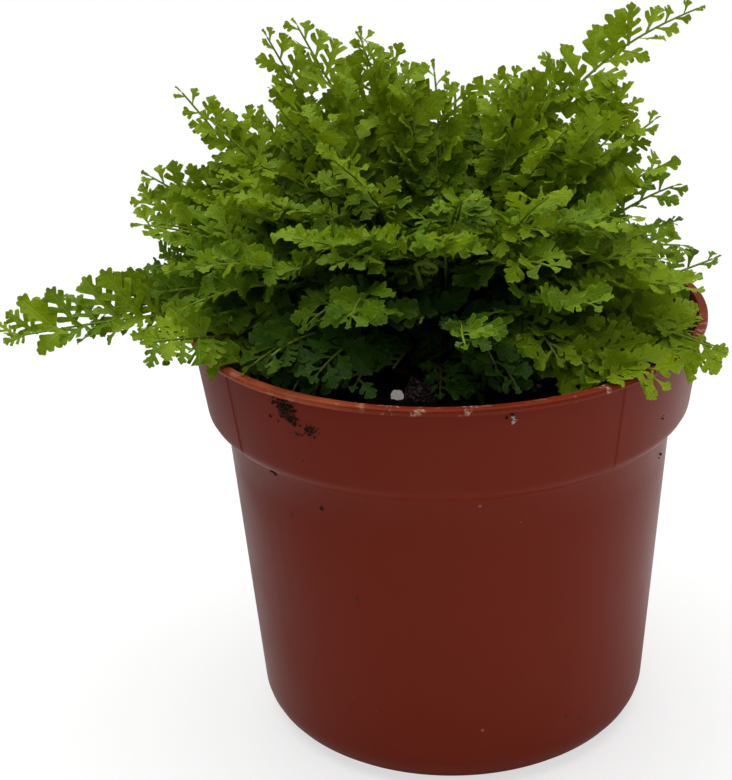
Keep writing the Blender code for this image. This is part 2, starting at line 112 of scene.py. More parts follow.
def startGroup(name, inputs, outputs):
    # inputs: (name, kind, starting value); outputs: (name, kind)
    group = bpy.data.node_groups.new(name, "ShaderNodeTree")
    for label, kind, value in inputs:
        socket = group.interface.new_socket(label, in_out="INPUT", socket_type="NodeSocket" + kind)
        if value is not None:
            socket.default_value = value
    for label, kind in outputs:
        group.interface.new_socket(label, in_out="OUTPUT", socket_type="NodeSocket" + kind)
    return group, group.nodes.new("NodeGroupInput"), group.nodes.new("NodeGroupOutput")


def useGroup(nodes, links, group, feed, **values):
    # feed goes into the group's first socket
    node = nodes.new("ShaderNodeGroup")
    node.node_tree = group
    links.new(feed, node.inputs[0])
    for label, value in values.items():
        node.inputs[label].default_value = value
    return node


def savedValue(nodes, name):
    # A number that the mesh keeps at each of its points
    node = nodes.new("ShaderNodeAttribute")
    node.attribute_name = name
    return node.outputs["Fac"]


def separateNode(nodes, links, value):
    node = nodes.new("ShaderNodeSeparateXYZ")
    links.new(value, node.inputs[0])
    return node.outputs


def mathNode(nodes, links, kind, a, b=None, clamp=False):
    node = nodes.new("ShaderNodeMath")
    node.operation = kind
    node.use_clamp = clamp
    for k, value in enumerate((a, b)):
        if value is None:
            continue
        if isinstance(value, (int, float)):
            node.inputs[k].default_value = value
        else:
            links.new(value, node.inputs[k])
    return node.outputs[0]


def timesNode(nodes, links, a, b, clamp=False):
    return mathNode(nodes, links, "MULTIPLY", a, b, clamp)


def mixNode(nodes, links, factor, first, second):
    node = nodes.new("ShaderNodeMix")
    node.data_type = "RGBA"
    for socket, value in ((node.inputs[0], factor), (node.inputs[6], first), (node.inputs[7], second)):
        if isinstance(value, (int, float)):
            socket.default_value = value
        elif isinstance(value, tuple):
            socket.default_value = (*value, 1)
        else:
            links.new(value, socket)
    return node.outputs[2]


def layOver(nodes, links, colour, paint, mask, share):
    # Lays paint over a colour where the mask is, as strongly as share says
    return mixNode(nodes, links, timesNode(nodes, links, mask, share), colour, paint)


def rangeNode(nodes, links, value, low, high, toLow=0.0, toHigh=1.0):
    node = nodes.new("ShaderNodeMapRange")
    node.interpolation_type = "SMOOTHSTEP"
    links.new(value, node.inputs[0])
    for k, number in enumerate((low, high, toLow, toHigh)):
        node.inputs[k + 1].default_value = number
    return node.outputs[0]


def noiseNode(nodes, links, place, scale, detail=3, rough=0.55):
    node = nodes.new("ShaderNodeTexNoise")
    node.inputs["Scale"].default_value = scale
    node.inputs["Detail"].default_value = detail
    node.inputs["Roughness"].default_value = rough
    links.new(place, node.inputs["Vector"])
    return node.outputs["Fac"]


def setBump(nodes, links, shader, height, strength, depth):
    # Bump from a height, depth in mm
    bump = nodes.new("ShaderNodeBump")
    bump.inputs["Strength"].default_value = strength
    bump.inputs["Distance"].default_value = depth * mm
    links.new(height, bump.inputs["Height"])
    links.new(bump.outputs[0], shader.inputs["Normal"])
    return bump.outputs[0]


# Shared effects

def makeSpeckGroup():
    # Small scattered spots, for dust and for grit
    group, start, end = startGroup(
        "scatteredSpecks",
        [("Place", "Vector", None), ("Size", "Float", 300.0), ("Amount", "Float", 0.2)],
        [("Mask", "Float")],
    )
    nodes, links = group.nodes, group.links
    cells = nodes.new("ShaderNodeTexVoronoi")
    links.new(start.outputs["Place"], cells.inputs["Vector"])
    links.new(start.outputs["Size"], cells.inputs["Scale"])
    dot = rangeNode(nodes, links, cells.outputs["Distance"], 0.32, 0.16)
    pick = nodes.new("ShaderNodeSeparateColor")
    links.new(cells.outputs["Color"], pick.inputs[0])
    chosen = mathNode(nodes, links, "LESS_THAN", pick.outputs[0], start.outputs["Amount"])
    links.new(timesNode(nodes, links, dot, chosen), end.inputs["Mask"])
    return group


def makeMottleGroup():
    # Broad and fine unevenness, as two masks
    group, start, end = startGroup(
        "unevenTone",
        [("Place", "Vector", None), ("Broad", "Float", 40.0), ("Fine", "Float", 600.0)],
        [("Broad", "Float"), ("Fine", "Float")],
    )
    nodes, links = group.nodes, group.links
    for label, detail in (("Broad", 4), ("Fine", 2)):
        node = nodes.new("ShaderNodeTexNoise")
        node.inputs["Detail"].default_value = detail
        links.new(start.outputs["Place"], node.inputs["Vector"])
        links.new(start.outputs[label], node.inputs["Scale"])
        links.new(rangeNode(nodes, links, node.outputs["Fac"], 0.3, 0.7), end.inputs[label])
    return group


def makeVeinGroup():
    # Midrib and the slanting side veins of a leaflet, from its own flat map
    group, start, end = startGroup(
        "leafletVeins",
        [("Map", "Vector", None), ("Spacing", "Float", 0.16), ("Slant", "Float", 0.8)],
        [("Midrib", "Float"), ("Side veins", "Float")],
    )
    nodes, links = group.nodes, group.links
    along, across, _ = separateNode(nodes, links, start.outputs["Map"])
    away = mathNode(nodes, links, "ABSOLUTE", mathNode(nodes, links, "SUBTRACT", across, 0.5))
    links.new(rangeNode(nodes, links, away, 0.022, 0.004), end.inputs["Midrib"])
    shifted = mathNode(nodes, links, "SUBTRACT", along, timesNode(nodes, links, away, start.outputs["Slant"]))
    steps = mathNode(nodes, links, "DIVIDE", shifted, start.outputs["Spacing"])
    wrapped = mathNode(nodes, links, "FRACT", mathNode(nodes, links, "ADD", steps, 8.0))
    near = mathNode(nodes, links, "ABSOLUTE", mathNode(nodes, links, "SUBTRACT", wrapped, 0.5))
    line = rangeNode(nodes, links, near, 0.40, 0.49)
    fading = rangeNode(nodes, links, away, 0.42, 0.05)  # towards the leaflet's edge
    links.new(timesNode(nodes, links, line, fading), end.inputs["Side veins"])
    return group


specks = makeSpeckGroup()
mottle = makeMottleGroup()
veins = makeVeinGroup()


# Finishes

leafLook = {
    "shade": (0.014, 0.044, 0.002),
    "middle": (0.078, 0.158, 0.002),
    "sunny": (0.172, 0.262, 0.002),
    "vein": (0.22, 0.31, 0.04), "midribShare": 0.50, "sideShare": 0.22,
    # painted light along the leaflets' edges: their margins painted paler, as light shines through them
    "edgeLight": (0.26, 0.37, 0.02), "edgeLightShare": 0.55,
    "through": (0.28, 0.38, 0.010), "throughShare": 0.24,
    "roughness": (0.40, 0.54), "gloss": 0.08,
}


def makeLeafFinish():
    material, nodes, links, shader = startMaterial("leafletGreen")
    place = nodes.new("ShaderNodeTexCoord").outputs["Object"]
    flat = nodes.new("ShaderNodeUVMap")
    flat.uv_map = "leafMap"
    ribs = useGroup(nodes, links, veins, flat.outputs[0])
    uneven = useGroup(nodes, links, mottle, place, Broad=90.0, Fine=900.0)
    broad, fine = uneven.outputs["Broad"], uneven.outputs["Fine"]
    # From 0 in the shade to 1 in the sun, and uneven over the leaflet
    blend = mathNode(nodes, links, "ADD", savedValue(nodes, "tone"), timesNode(nodes, links, broad, 0.25))
    blend = mathNode(nodes, links, "SUBTRACT", blend, timesNode(nodes, links, fine, 0.10), clamp=True)
    low, high = rangeNode(nodes, links, blend, 0.0, 0.5), rangeNode(nodes, links, blend, 0.5, 1.0)
    green = mixNode(nodes, links, low, leafLook["shade"], leafLook["middle"])
    green = mixNode(nodes, links, high, green, leafLook["sunny"])
    # Veins, and painted light along the margin, duller on leaves painted dark
    midrib = timesNode(nodes, links, ribs.outputs["Midrib"], leafLook["midribShare"])
    sideVeins = timesNode(nodes, links, ribs.outputs["Side veins"], leafLook["sideShare"])
    ribMask = mathNode(nodes, links, "MAXIMUM", midrib, sideVeins)
    lit = rangeNode(nodes, links, blend, 0.0, 0.8, 0.16, 1.0)
    green = layOver(nodes, links, green, leafLook["vein"], ribMask, lit)
    # Painted light along the leaflet's edge, stronger on leaves painted lit
    pale = rangeNode(nodes, links, savedValue(nodes, "edgeLight"), 0.55, 1.0, 0.0, leafLook["edgeLightShare"])
    green = layOver(nodes, links, green, leafLook["edgeLight"], pale, lit)
    links.new(green, shader.inputs["Base Color"])
    links.new(rangeNode(nodes, links, fine, 0, 1, *leafLook["roughness"]), shader.inputs["Roughness"])
    shader.inputs["Specular IOR Level"].default_value = leafLook["gloss"]
    height = mathNode(nodes, links, "SUBTRACT", fine, timesNode(nodes, links, ribMask, 1.6))
    normal = setBump(nodes, links, shader, height, 0.5, 0.25)
    # Light that comes through the leaf
    through = nodes.new("ShaderNodeBsdfTranslucent")
    links.new(mixNode(nodes, links, blend, leafLook["middle"], leafLook["through"]), through.inputs["Color"])
    links.new(normal, through.inputs["Normal"])
    both = nodes.new("ShaderNodeMixShader")
    both.inputs[0].default_value = leafLook["throughShare"]
    links.new(shader.outputs[0], both.inputs[1])
    links.new(through.outputs[0], both.inputs[2])
    links.new(both.outputs[0], nodes["Material Output"].inputs["Surface"])
    return material


stemLook = {
    # brown: the stems' own brown, also the painted shade of stems in the hollow
    "green": (0.150, 0.225, 0.016), "brown": (0.036, 0.024, 0.008), "dull": (0.10, 0.13, 0.012),
    "dullShare": 0.35, "roughness": (0.42, 0.6), "gloss": 0.10,
}


def makeStemFinish():
    material, nodes, links, shader = startMaterial("stemGreen")
    place = nodes.new("ShaderNodeTexCoord").outputs["Object"]
    uneven = useGroup(nodes, links, mottle, place, Broad=160.0, Fine=1500.0)
    broad, fine = uneven.outputs["Broad"], uneven.outputs["Fine"]
    blend = rangeNode(nodes, links, broad, 0, 1, 0.9, 1.6)
    blend = timesNode(nodes, links, savedValue(nodes, "tone"), blend, clamp=True)
    # brown where the stem is old or painted shaded, green where it is young and lit
    colour = mixNode(nodes, links, blend, stemLook["brown"], stemLook["green"])
    dull = timesNode(nodes, links, fine, stemLook["dullShare"])
    colour = layOver(nodes, links, colour, stemLook["dull"], dull, blend)
    links.new(colour, shader.inputs["Base Color"])
    links.new(rangeNode(nodes, links, fine, 0, 1, *stemLook["roughness"]), shader.inputs["Roughness"])
    shader.inputs["Specular IOR Level"].default_value = stemLook["gloss"]
    setBump(nodes, links, shader, fine, 0.4, 0.15)
    return material


potLook = {
    "body": (0.148, 0.0130, 0.003),
    "worn": (0.165, 0.023, 0.009),
    "film": (0.50, 0.34, 0.24),
    "dirt": (0.035, 0.018, 0.012),
    # rim: lighter orange painted on the top of the rim, as painted light, strongest on the left
    "rim": (0.33, 0.066, 0.022),
    "wornShare": 0.22, "limeShare": 0.8, "roughness": (0.36, 0.46), "gloss": 0.08,
    # in mm: the rim's height, where it is painted lighter as painted light from the left, the lime's height,
    # where there is more of it
    "rimFrom": (99.7, 100.1), "rimLitFromLeft": (-12.0, -30.0), "limeFrom": (99.6, 100.6), "limeRight": (-20, 0.0),
    # dust and grit: scale, how many, colour, share
    "specks": ((620.0, 0.0008, "film", 0.25), (430.0, 0.004, "dirt", 0.7)),
    # where soil has dried on, in mm, and how far it spreads
    "smudges": (((-34.1, -47.9, 97.3), 3.1), ((-28.9, -50.6, 93.4), 2.2), ((-32.4, -48.0, 91.4), 1.3),
                ((-38.2, -35.5, 76.4), 1.3), ((13.0, -57.7, 99.4), 1.0), ((35.8, -28.9, 5.9), 1.6),
                ((29.2, -37.2, 13.1), 1.1), ((-31.3, -37.1, 29.8), 0.9)),
}


def makePotFinish():
    material, nodes, links, shader = startMaterial("pottedPlastic")
    place = nodes.new("ShaderNodeTexCoord").outputs["Object"]
    x, _, z = separateNode(nodes, links, place)
    uneven = useGroup(nodes, links, mottle, place, Broad=28.0, Fine=1100.0)
    broad, fine = uneven.outputs["Broad"], uneven.outputs["Fine"]
    colour = layOver(nodes, links, potLook["body"], potLook["worn"], broad, potLook["wornShare"])
    # Painted light: the rim is painted lighter and more orange towards its left, where the light falls on it
    rim = rangeNode(nodes, links, z, *inMetres(potLook["rimFrom"]))
    rimLitFromLeft = rangeNode(nodes, links, x, *inMetres(potLook["rimLitFromLeft"]), 0.10, 0.9)
    colour = layOver(nodes, links, colour, potLook["rim"], rim, rimLitFromLeft)
    # Dried lime along the rim
    high = rangeNode(nodes, links, z, *inMetres(potLook["limeFrom"]))
    lime = rangeNode(nodes, links, noiseNode(nodes, links, place, 330.0, 5, 0.7), 0.54, 0.64)
    patches = rangeNode(nodes, links, noiseNode(nodes, links, place, 60.0, 2), 0.40, 0.52)
    right = rangeNode(nodes, links, x, *inMetres(potLook["limeRight"]), 0.35, 1)
    patches = timesNode(nodes, links, patches, right)
    lime = timesNode(nodes, links, timesNode(nodes, links, lime, high), patches)
    colour = layOver(nodes, links, colour, potLook["film"], lime, potLook["limeShare"])
    for size, amount, paint, share in potLook["specks"]:
        dots = useGroup(nodes, links, specks, place, Size=size, Amount=amount)
        colour = layOver(nodes, links, colour, potLook[paint], dots.outputs[0], share)
    # Soil that has dried on in patches
    broken = rangeNode(nodes, links, noiseNode(nodes, links, place, 900.0, 4, 0.7), 0.42, 0.60)
    for spot, reach in potLook["smudges"]:
        near = nodes.new("ShaderNodeVectorMath")
        near.operation = "DISTANCE"
        near.inputs[1].default_value = Vector(spot) * mm
        links.new(place, near.inputs[0])
        soft = rangeNode(nodes, links, near.outputs["Value"], reach * mm, 0.3 * reach * mm, 0.0, 0.8)
        colour = layOver(nodes, links, colour, potLook["dirt"], soft, broken)
    links.new(colour, shader.inputs["Base Color"])
    rough = rangeNode(nodes, links, broad, 0, 1, *potLook["roughness"])
    rough = mathNode(nodes, links, "ADD", rough, timesNode(nodes, links, lime, 0.35), clamp=True)
    links.new(rough, shader.inputs["Roughness"])
    shader.inputs["Specular IOR Level"].default_value = potLook["gloss"]
    setBump(nodes, links, shader, mathNode(nodes, links, "ADD", fine, lime), 0.12, 0.1)
    return material


earthLooks = {  # dark, light, roughness, scale of the unevenness, gloss, painted glow
    "dampPeat": ((0.008, 0.005, 0.004), (0.040, 0.024, 0.015), 0.95, 220.0, 0.15, 0.0),
    "peatFibre": ((0.030, 0.016, 0.009), (0.105, 0.058, 0.030), 0.9, 300.0, 0.15, 0.0),
    "driedSoil": ((0.018, 0.008, 0.004), (0.090, 0.038, 0.020), 0.95, 420.0, 0.15, 0.0),
    "darkBark": ((0.006, 0.0025, 0.002), (0.064, 0.019, 0.012), 0.38, 260.0, 0.9, 0.0),
    "crownScale": ((0.030, 0.014, 0.006), (0.150, 0.072, 0.026), 0.85, 280.0, 0.15, 0.0),
    "whiteGrain": ((0.46, 0.41, 0.34), (0.80, 0.76, 0.70), 0.9, 500.0, 0.15, 0.0),
    # painted glow: this grain gives off light of its own, for the light that the leaves above keep from it
    "brightGrain": ((0.44, 0.32, 0.28), (0.95, 0.88, 0.84), 0.9, 1300.0, 0.15, 0.20),
}


def makeEarthFinish(name, dark, light, roughness, scale, gloss, paintedGlow):
    # Peat, bark and grains: two tones broken up by coarse and fine noise
    material, nodes, links, shader = startMaterial(name)
    place = nodes.new("ShaderNodeTexCoord").outputs["Object"]
    uneven = useGroup(nodes, links, mottle, place, Broad=scale, Fine=scale * 6)
    broad, fine = uneven.outputs["Broad"], uneven.outputs["Fine"]
    blend = timesNode(nodes, links, broad, fine)
    links.new(mixNode(nodes, links, blend, dark, light), shader.inputs["Base Color"])
    links.new(rangeNode(nodes, links, fine, 0, 1, roughness - 0.1, roughness), shader.inputs["Roughness"])
    shader.inputs["Specular IOR Level"].default_value = gloss
    shader.inputs["Emission Color"].default_value = (*light, 1)
    shader.inputs["Emission Strength"].default_value = paintedGlow  # painted glow: light the grain gives off itself, standing for light that the leaves keep from it
    setBump(nodes, links, shader, mathNode(nodes, links, "ADD", broad, fine), 0.8, 0.4)
    return material


leafFinish = makeLeafFinish()
stemFinish = makeStemFinish()
potFinish = makePotFinish()
earth = {name: makeEarthFinish(name, *look) for name, look in earthLooks.items()}
print("finishes ready")


# Pot

pot = {
    "height": 101.5, "mouth": 60, "collarTop": 59.1, "collarFoot": 56.6, "collarFootHeight": 79,
    "bodyTop": 52.2, "base": 47, "corner": 9, "wall": 1.3, "bead": 1.4,
    # the collar's straight part starts this far below the top and ends this far above its foot
    "collarStart": 2.05, "collarEnd": 2.8, "bodyStart": 2.6,  # and the body starts this far below the foot
    "panelFrom": -144, "panelTo": -51, "panelDepth": 0.20, "panelEdge": 0.30, "sides": 240,
    "drainHoles": 8, "drainRadius": 3.5, "drainCircle": 33,
}


def potCorner(radius, height, bend, steps=8):
    return [(radius - bend + bend * math.cos(a), height + bend - bend * math.sin(a))
            for a in [math.radians(90 * k / steps) for k in range(steps + 1)]]


def potRows():
    # (radius, height, share of the panel's depth) down the outside, then up the inside
    top, mouth, wall, low = pot["height"], pot["mouth"], pot["wall"], pot["corner"]
    neck, foot, footHeight = pot["collarTop"], pot["collarFoot"], pot["collarFootHeight"]
    body, base, bodyStart = pot["bodyTop"], pot["base"], pot["bodyStart"]
    start, end = pot["collarStart"], pot["collarEnd"]
    # rim, rounded at the top and with a small bead
    rows = [(mouth - 0.5, top, 0), (mouth - 0.22, top - 0.06, 0), (mouth - 0.06, top - 0.22, 0)]
    rows += [(mouth - 0.02, top - 0.42, 0), (mouth - 0.13, top - 0.52, 0), (mouth - 0.12, top - 0.62, 0)]
    rows += [(mouth, top - 0.72, 0), (mouth, top - 1.2, 0), (mouth - 0.1, top - 1.38, 0)]
    rows += [(mouth - 0.4, top - 1.5, 0), (neck + 0.04, top - 1.75, 1), (neck, top - start, 1)]
    for t in [k / 8 for k in range(1, 8)]:
        height = top - start + (footHeight + end - top + start) * t
        rows.append((neck + (foot - neck) * t, height, 1))
    # the step from the collar to the body
    rows += [(foot, footHeight + 2.7, 1), (foot - 0.15, footHeight + 1.9, 1)]
    rows += [(foot - 0.7, footHeight + 0.9, 0.4), (foot - 1.6, footHeight - 0.1, 0)]
    rows += [(body + 0.9, footHeight - 1.3, 0), (body, footHeight - bodyStart, 0)]
    for t in [k / 8 for k in range(1, 8)]:
        height = footHeight - bodyStart + (low - footHeight + bodyStart) * t
        rows.append((body + (base - body) * t, height, 0))
    rows += [(r, z, 0) for r, z in potCorner(base, 0, low)]
    rows += [(base - low - 6, 0.0, 0)]
    inner = [(r, z, 0) for r, z in potCorner(base - wall, wall, low - wall)]
    inner.reverse()
    inner += [(body - wall, footHeight - 2.2, 0), (foot - wall - 0.8, footHeight + 1.2, 0)]
    inner += [(neck - wall, top - pot["bead"], 0), (neck - wall + 0.06, top - 0.3, 0)]
    inner += [(neck - wall + 0.25, top, 0)]
    return rows, inner


def cutDrainHoles(piece):
    pegs = bmesh.new()
    radius, circle = inMetres((pot["drainRadius"], pot["drainCircle"]))
    for k in range(pot["drainHoles"]):
        a = turnFull * (k + 0.5) / pot["drainHoles"]
        place = Matrix.Translation((circle * math.cos(a), circle * math.sin(a), 0))
        bmesh.ops.create_cone(pegs, cap_ends=True, segments=32, radius1=radius, radius2=radius,
                              depth=8 * mm, matrix=place)
    pegMesh = bpy.data.meshes.new("drainPegs")
    pegs.to_mesh(pegMesh)
    pegs.free()
    cutter = bpy.data.objects.new("drainPegs", pegMesh)
    bpy.context.scene.collection.objects.link(cutter)
    cut = piece.modifiers.new("drainHoles", "BOOLEAN")
    cut.object = cutter
    cut.solver = "EXACT"
    bpy.context.view_layer.update()
    holed = bpy.data.meshes.new_from_object(piece.evaluated_get(bpy.context.evaluated_depsgraph_get()))
    piece.modifiers.clear()
    piece.data = holed
    bpy.data.objects.remove(cutter)


def makePot():
    angles = {k * 360 / pot["sides"] - 180 for k in range(pot["sides"])}
    for edge in (pot["panelFrom"], pot["panelTo"]):  # closer steps at the panel's edges
        angles = {a for a in angles if abs(a - edge) > 1.6}
        angles |= {edge + 0.13 * k for k in range(-5, 6)}
    around = np.array(sorted(angles))
    count = len(around)
    turn = np.radians(around)
    soft = pot["panelEdge"]
    inPanel = smoothStep(-soft, soft, around - pot["panelFrom"])
    inPanel = inPanel * (1 - smoothStep(-soft, soft, around - pot["panelTo"]))
    outer, inner = potRows()
    points = []
    for radius, height, share in outer + inner:
        r = (radius - share * pot["panelDepth"] * inPanel) * mm
        points += list(zip(r * np.cos(turn), r * np.sin(turn), np.full(count, height * mm)))
    innerStart, last = len(outer), len(outer) + len(inner) - 1
    faces = bandFaces(range(innerStart), count, flip=True)
    faces += bandFaces(range(innerStart, last + 1), count, flip=True)
    faces += bandFaces((last, 0), count, flip=True)
    faces += [endFace(innerStart - 1, count, flip=True), endFace(innerStart, count)]
    cutDrainHoles(addMesh("nurseryPot", points, faces, potFinish, "pot", 40))


makePot()
print("pot ready")


# Potting mix, its crumbs and fibres

mix = {
    "level": 91, "rough": 0.9, "radius": 56.6, "sides": 160, "rings": 60,
    "skirtRadius": 50, "skirtHeight": 70,  # the block's lower ring, inside the pot
    "crumbs": 2200, "crumbReach": 55.4, "paleGrit": 26, "fibres": 260, "fibreReach": 52, "seed": 21,
}
# The crown stands in the mix, behind the middle of the pot
crown = {"radius": 17, "skirt": 3, "height": 4, "y": 2, "sides": 72, "rings": 26, "scales": 420, "seed": 5}


def mixHeight(x, y):
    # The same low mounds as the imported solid, x and y in metres
    fromCrown = math.hypot(x, y - crown["y"] * mm)
    fade = min(1, max(0, (fromCrown - (crown["radius"] + crown["skirt"]) * mm) / (8 * mm)))
    wave = math.sin(x * 310 + 1.3) * math.cos(y * 260 - 0.4) + 0.6 * math.sin(x * 530 - y * 470)
    return (mix["level"] + fade * mix["rough"] * (0.55 * wave - 0.7)) * mm


def makeMix():
    sides, rings = mix["sides"], mix["rings"]
    outerRadius, skirtRadius, skirtHeight = inMetres((mix["radius"], mix["skirtRadius"], mix["skirtHeight"]))
    points = []
    for ring in range(rings + 1):
        r = outerRadius * (1 - ring / (rings + 1))
        for k in range(sides):
            a = turnFull * k / sides
            x, y = r * math.cos(a), r * math.sin(a)
            rough = noise.fractal(Vector((x, y, 0)) * 420, 0.6, 2.1, 4) * 0.55 * mm
            edge = 1 - ring / 3 if ring < 3 else 0
            points.append((x, y, mixHeight(x, y) + rough - 0.4 * mm * edge))
    for k in range(sides):
        a = turnFull * k / sides
        points.append((skirtRadius * math.cos(a), skirtRadius * math.sin(a), skirtHeight))
    skirt = rings + 1
    faces = bandFaces(range(rings + 1), sides) + [endFace(rings, sides)]
    faces += bandFaces((skirt, 0), sides) + [endFace(skirt, sides, flip=True)]
    addMesh("pottingMix", points, faces, earth["dampPeat"], "potting_mix")


lumpShape = bmesh.new()
bmesh.ops.create_icosphere(lumpShape, subdivisions=1, radius=1)
lumpPoints = np.array([v.co[:] for v in lumpShape.verts])
lumpFaces = [tuple(v.index for v in f.verts) for f in lumpShape.faces]
lumpShape.free()


def addLumps(name, finish, spots, chance):
    # spots: (x, y, z, size, stretch); every lump has its own turn and knobs
    points, faces = [], []
    for x, y, z, size, stretch in spots:
        waves = np.array([[chance.uniform(2, 6)] for _ in range(3)])
        knobs = lumpPoints * (1 + 0.28 * np.sin(lumpPoints @ waves + chance.uniform(0, 6)))
        knobs = knobs * np.array([stretch, 1, chance.uniform(0.55, 0.85)])
        spin = Matrix.Rotation(chance.uniform(0, turnFull), 3, "Z")
        spin = spin @ Matrix.Rotation(chance.uniform(-0.5, 0.5), 3, "X")
        knobs = knobs @ np.array(spin).T * size
        first = len(points)
        points += [(x + p[0], y + p[1], z + p[2]) for p in knobs]
        faces += [tuple(first + i for i in f) for f in lumpFaces]
    addMesh(name, points, faces, finish, None)


def makeCrumbs():
    chance = random.Random(mix["seed"])
    spots, pale = [], []
    while len(spots) < mix["crumbs"]:
        r, a = mix["crumbReach"] * mm * math.sqrt(chance.random()), chance.uniform(0, turnFull)
        x, y = r * math.cos(a), r * math.sin(a)
        size = (0.28 + 1.0 * chance.random() ** 3) * mm
        spots.append((x, y, mixHeight(x, y) + 0.2 * size, size, chance.uniform(1, 1.9)))
    addLumps("peatCrumbs", earth["dampPeat"], spots, chance)
    for _ in range(mix["paleGrit"]):
        r, a = chance.uniform(24, 54) * mm, chance.uniform(0, turnFull)
        x, y = r * math.cos(a), r * math.sin(a)
        size = chance.uniform(0.35, 0.8) * mm
        pale.append((x, y, mixHeight(x, y) + 0.4 * size, size, chance.uniform(1, 1.4)))
    addLumps("paleGrit", earth["whiteGrain"], pale, chance)


def addStrands(name, finish, strands):
    # strands: (list of points, list of radii)
    sides = 4
    points, faces = [], []
    for line, radii in strands:
        first, last = len(points), len(line) - 1
        for k, (place, radius) in enumerate(zip(line, radii)):
            way = (line[min(k + 1, last)] - line[max(k - 1, 0)]).normalized()
            side = way.cross(Vector((0, 0, 1)) if abs(way.z) < 0.95 else Vector((1, 0, 0))).normalized()
            upper = side.cross(way)
            for j in range(sides):
                a = turnFull * j / sides
                points.append(place + (side * math.cos(a) + upper * math.sin(a)) * radius)
        faces += bandFaces(range(last + 1), sides, first)
        faces += [endFace(0, sides, first, flip=True), endFace(last, sides, first)]
    addMesh(name, points, faces, finish, None)


def makeFibres():
    chance = random.Random(mix["seed"] + 1)
    strands = []
    for _ in range(mix["fibres"]):
        r, a = mix["fibreReach"] * mm * math.sqrt(chance.random()), chance.uniform(0, turnFull)
        x, y = r * math.cos(a), r * math.sin(a)
        turn, bend = chance.uniform(0, turnFull), chance.uniform(-0.5, 0.5)
        step = chance.uniform(0.5, 1.4) * mm
        line = []
        for k in range(9):
            if math.hypot(x, y) > 55.5 * mm:  # it would lie in the pot's wall
                break
            above = (0.45 + 0.35 * math.sin(k * 0.8 + turn)) * mm
            line.append(Vector((x, y, mixHeight(x, y) + above)))
            x, y = x + step * math.cos(turn), y + step * math.sin(turn)
            turn += bend * chance.uniform(0.2, 1)
        if len(line) > 3:
            thick = chance.uniform(0.07, 0.16) * mm
            strands.append((line, [thick * (1 - 0.5 * k / len(line)) for k in range(len(line))]))
    addStrands("peatFibres", earth["peatFibre"], strands)


makeMix()
makeCrumbs()
makeFibres()
print("potting mix ready")


# Crown

rootLevel = (mix["level"] + crown["height"]) * mm + 2 * gap


def crownScales(base, first):
    # Narrow papery scales standing round the top: their points, and faces counted from first
    chance = random.Random(crown["seed"])
    points, faces = [], []
    for _ in range(crown["scales"]):
        a, r = chance.uniform(0, turnFull), chance.uniform(3, 19) * mm
        x, y = r * math.cos(a), crown["y"] * mm + r * math.sin(a)
        z = base + crown["height"] * mm * min(1, (20 - r / mm) / 6) - 0.3 * mm
        length, wide = chance.uniform(1.6, 3.6) * mm, chance.uniform(0.2, 0.42) * mm
        b = a + chance.uniform(-1.2, 1.2)
        lean = chance.uniform(0.35, 1.3)
        way = Vector((math.cos(b) * math.cos(lean), math.sin(b) * math.cos(lean), math.sin(lean)))
        side = way.cross(Vector((0, 0, 1))).normalized() * wide
        foot = Vector((x, y, z))
        bow = side.cross(way).normalized() * 0.25 * length
        points += [foot - side, foot + side, foot + way * length * 0.55 + side * 0.8 - bow * 0.5,
                   foot + way * length * 0.55 - side * 0.8 - bow * 0.5, foot + way * length - bow * 1.4]
        faces += [(first, first + 1, first + 2, first + 3), (first + 3, first + 2, first + 4)]
        first += 5
    return points, faces


def makeCrown():
    sides, rings = crown["sides"], crown["rings"]
    base = mix["level"] * mm + gap
    points = []
    for ring in range(rings):
        t = ring / (rings - 1)
        reach = (crown["radius"] + crown["skirt"]) * mm * (1 - t) ** 0.45 if t < 1 else 0.2 * mm
        for k in range(sides):
            a = turnFull * k / sides
            knob = 1 + 0.05 * math.sin(5 * a) + 0.03 * math.sin(9 * a)
            x, y = reach * knob * math.cos(a), reach * knob * math.sin(a)
            z = base + crown["height"] * mm * min(1, 1.7 * t ** 0.6) - 0.2 * mm
            rough = noise.fractal(Vector((x, y, z)) * 500, 0.7, 2, 3) * 0.35 * mm * min(1, 3 * (1 - t))
            points.append((x, y + crown["y"] * mm, z + (rough - 0.3 * mm)))
    faces = bandFaces(range(rings), sides) + [endFace(rings - 1, sides), endFace(0, sides, flip=True)]
    scalePoints, scaleFaces = crownScales(base, len(points))
    addMesh("scalyCrown", points + scalePoints, faces + scaleFaces, earth["crownScale"], "crown")


makeCrown()
print("crown ready")


# Leaflets: flat lobed sheets, cut once and then bent for every place

leaflet = {
    "cell": 0.022, "inside": 0.092, "trim": 0.006, "seed": 3,
    # the kinds by a leaflet's length in mm, from these lengths up, and how many of the large ones are broad
    "largeFrom": 9.0, "wedgeFrom": 6.2, "fanFrom": 3.6, "broadShare": 0.6,
    "slenderFrom": 5.0, "slenderShare": 0.4,
    "stalkTo": 0.14, "bladeTo": 0.52,  # where the stalk and the narrow part of the blade end
    # from and to: change in length, bend, fold in degrees, ruffle, twist
    "length": (0.88, 1.10), "bend": (-0.95, 0.20), "fold": (-12, 26), "ruffle": (0.04, 0.095),
    "twist": (-0.6, 0.6),
}

